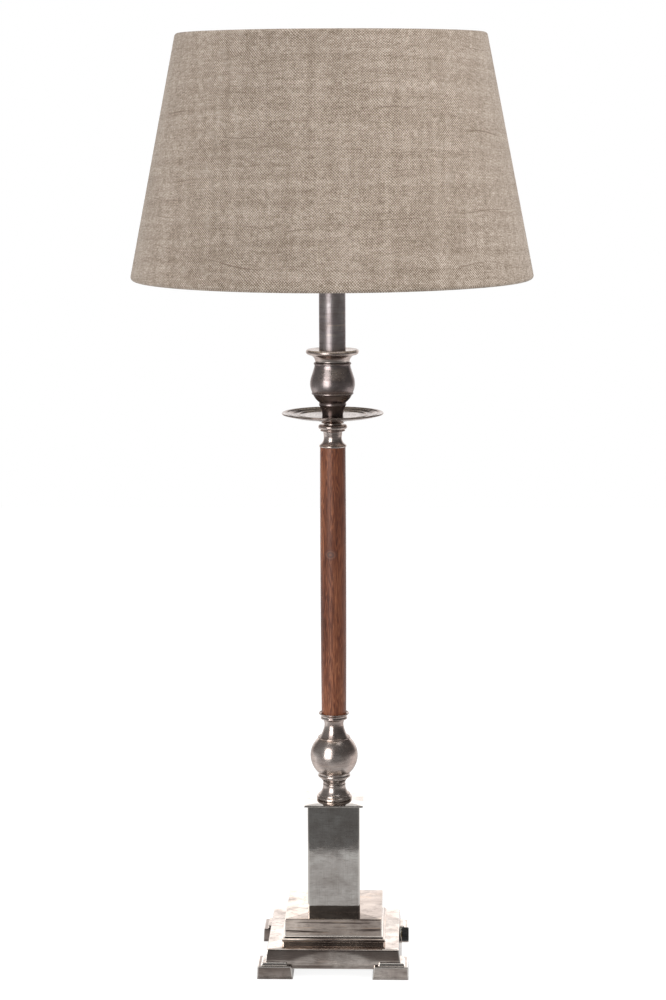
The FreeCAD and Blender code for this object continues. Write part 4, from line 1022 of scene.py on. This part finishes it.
def shade():
    cover = linen_cover()
    dress(cover, LINEN, "linen", "shade_cover", body="shade")
    liner = turned("liner", [
        from_ring(FOOT_RING, LINER_IN, 0), from_ring(FOOT_RING, LINER_OUT, 0),
        from_ring(HEAD_RING, LINER_OUT, 0), from_ring(HEAD_RING, LINER_IN, 0),
    ], 240, 0.08)
    dress(liner, LINER, "liner_film", "shade_liner", body="shade")
    growth = Growth("wire ring", **ring_sizes(HEAD_RING))
    head_wire = growth.grown("head_wire", growth.hoop(), WIRE)
    dress(head_wire, WIRE, "white_wire", "top_wire_ring", body="shade")
    seat = turned("seat_ring", [
        (SEAT_IN, SEAT_LOW), (SEAT_OUT, SEAT_LOW), (SEAT_OUT, SEAT_TOP), (SEAT_IN, SEAT_TOP),
    ], 96, 0.2)
    carrier = joined("arm_carrier", [carrier_wires(), seat])
    dress(carrier, WIRE, "white_wire", "shade_carrier", body="shade")


# ---------------- smoothed small pieces

BRASS_PART = (BRASS, "brass_parts", "stand")
ZINC_PART = (ZINC, "zinc_steel", "stand")
BLACK_PART = (HOLDER, "holder_plastic", "stand")
BULB_METAL = (ALUMINIUM, "bulb_metal", "bulb")
LIVE_LEAD = (BROWN, "lead_brown", "stand")
SMALL = {
    "tube_plug": BRASS_PART,
    "bottom_cover": ZINC_PART,
    "cover_screws": ZINC_PART,
    "ballast_weight": (IRON, "iron", "stand"),
    "tie_rod": ZINC_PART,
    "rod_nuts": ZINC_PART,
    "rod_washer": ZINC_PART,
    "holder_cap": BLACK_PART,
    "holder_body": BLACK_PART,
    "holder_insert": (PORCELAIN, "porcelain", "stand"),
    "screw_shell": BRASS_PART,
    "centre_contact": BRASS_PART,
    "side_contact": BRASS_PART,
    "bulb_glass": (FROSTED, "frosted_glass", "bulb"),
    "bulb_shell": BULB_METAL,
    "bulb_insulator": (BLACK_GLASS, "black_glass", "bulb"),
    "bulb_eyelet": BULB_METAL,
    "bulb_stem": (CLEAR, "clear_glass", "bulb"),
    "bulb_filament": BULB_METAL,
    "shade_ring": (HOLDER, "holder_plastic", "retaining_ring"),
    "switch_knob": (KNOB, "knob_plastic", "switch"),
    "switch_spindle": (BRASS, "brass_parts", "switch"),
    "switch_bushing": ZINC_PART,
    "switch_nut": ZINC_PART,
    "switch_body": BLACK_PART,
    "terminal_block": (WHITE_PLASTIC, "white_plastic", "stand"),
    "terminal_screws": ZINC_PART,
    "earth_screw": ZINC_PART,
    "earth_tag": BRASS_PART,
    "cord_bushing": (RUBBER, "rubber_bushing", "stand"),
    "lead_neutral": (BLUE, "lead_blue", "stand"),
    "lead_switched": LIVE_LEAD,
    "lead_feed": LIVE_LEAD,
}


def small_pieces():
    for node, (material, slot, body) in SMALL.items():
        dress(smoothed_node(node, f"{node}_piece"), material, slot, node, body=body)


# ---------------- stage, light and camera

TABLE_SIDE, TABLE_FRONT, TABLE_BACK = 1.6, -0.32, 2.2
TABLE_GLOW = 0.88  # brightness of the table to the camera


def stage():
    """White table; in reflections it is dimmer in front of the lamp, where less light falls."""
    mesh = bpy.data.meshes.new("table")
    mesh.from_pydata([
        (-TABLE_SIDE, TABLE_FRONT, 0), (TABLE_SIDE, TABLE_FRONT, 0), (TABLE_SIDE, TABLE_BACK, 0),
        (-TABLE_SIDE, TABLE_BACK, 0),
    ], [], [(0, 1, 2, 3)])
    table = linked("table", mesh)
    paper = bpy.data.materials.new("white table")
    paper.use_nodes = True
    paper.node_tree.nodes.clear()
    graph = Graph(paper.node_tree)

    def matt(level):
        return graph.node("ShaderNodeBsdfDiffuse", {"Color": (level, level, level, 1)})

    depth = graph.axes(graph.node("ShaderNodeTexCoord", output="Object"))[1]
    direct = graph.ray("Camera")
    seen = direct.maths("MAXIMUM", graph.mirrored())
    glow = direct * TABLE_GLOW + (1 - direct) * (depth.within(-0.10, 0.12) * 0.62 + 0.26)
    bright = graph.node("ShaderNodeEmission", {"Strength": glow})
    both = graph.node("ShaderNodeAddShader", {0: matt(0.26), 1: bright})
    choice = graph.node("ShaderNodeMixShader", {0: seen, 1: matt(0.8), 2: both})
    graph.node("ShaderNodeOutputMaterial", {0: choice}, None)
    mesh.materials.append(paper)


def surroundings():
    """White to the camera; in reflections white behind the lamp and a dim room in front."""
    world = bpy.data.worlds.new("surroundings")
    scene.world = world
    world.use_nodes = True
    world.node_tree.nodes.clear()
    graph = Graph(world.node_tree)
    x, y, z = graph.axes(graph.node("ShaderNodeTexCoord", output="Generated"))
    left = (x * -1).within(0.05, 0.9)
    low_wall = z.within(-0.22, -0.1) * (1 - z.within(-0.02, 0.08))
    floor = 1 - z.within(-0.32, -0.2)
    room = 0.12 + left * 0.12 + low_wall * 0.18 + floor * 0.055
    behind = y.within(0.55, 0.85) * (1 - z.within(0.3, 0.42))
    room = room * (1 - behind) + behind

    def light(strength):
        return graph.node("ShaderNodeBackground", {"Color": (1, 1, 1, 1), "Strength": strength})

    inputs = {0: graph.mirrored(), 1: light(0.45), 2: light(room)}
    indirect = graph.node("ShaderNodeMixShader", inputs)
    inputs = {0: graph.ray("Camera"), 1: indirect, 2: light(1.0)}
    whole = graph.node("ShaderNodeMixShader", inputs)
    graph.node("ShaderNodeOutputWorld", {0: whole}, None)


def soft_box(name, place, target, width, height, power, mirrored=True, lit=True):
    """A soft rectangular lamp; one may be only seen in the metal, or only light the rest."""
    light = bpy.data.lights.new(name, "AREA")
    light.shape, light.size, light.size_y, light.energy = "RECTANGLE", width, height, power
    lamp = linked(name, light)
    lamp.location = place
    lamp.rotation_mode = "QUATERNION"
    lamp.rotation_quaternion = (Vector(target) - Vector(place)).to_track_quat("-Z", "Y")
    lamp.visible_camera = False
    lamp.visible_glossy, lamp.visible_diffuse = mirrored, lit


SENSOR, LENS = 36.0, 91.09
EYE, VIEW = (0.0622, -1.8931, 0.6556), (-0.03246, 0.98742, -0.15475)
ROLL = math.radians(-0.25)


def camera():
    data = bpy.data.cameras.new("camera")
    data.sensor_width, data.lens = SENSOR, LENS
    eye = linked("camera", data)
    eye.location = EYE
    eye.rotation_mode = "QUATERNION"
    look = Vector(VIEW).to_track_quat("-Z", "Y")
    eye.rotation_quaternion = look @ Quaternion((0, 0, 1), ROLL)
    scene.camera = eye


foot()
felt_discs()
plinth()
column()
stem()
shade()
small_pieces()
stage()
surroundings()
soft_box("strip", (-0.93, -1.66, 0.8), (0, 0, 0.5), 1.1, 1.6, 25, lit=False)
soft_box("left", (-0.93, -1.66, 0.62), (0, 0, 0.45), 0.7, 1.2, 10, mirrored=False)
soft_box("backdrop", (0, 1.7, 0.5), (0, 0, 0.4), 2.2, 1.0, 5.5)
soft_box("overhead", (0, -0.1, 2.2), (0, 0, 0.3), 2.0, 1.3, 11)
soft_box("high right", (1.9, -0.9, 1.4), (0, 0, 0.5), 1.0, 1.0, 35, mirrored=False)
soft_box("low left", (-1.8, -0.7, 0.9), (0, 0, 0.5), 1.0, 1.2, 12, mirrored=False)
camera()
scene.view_settings.view_transform = "Standard"
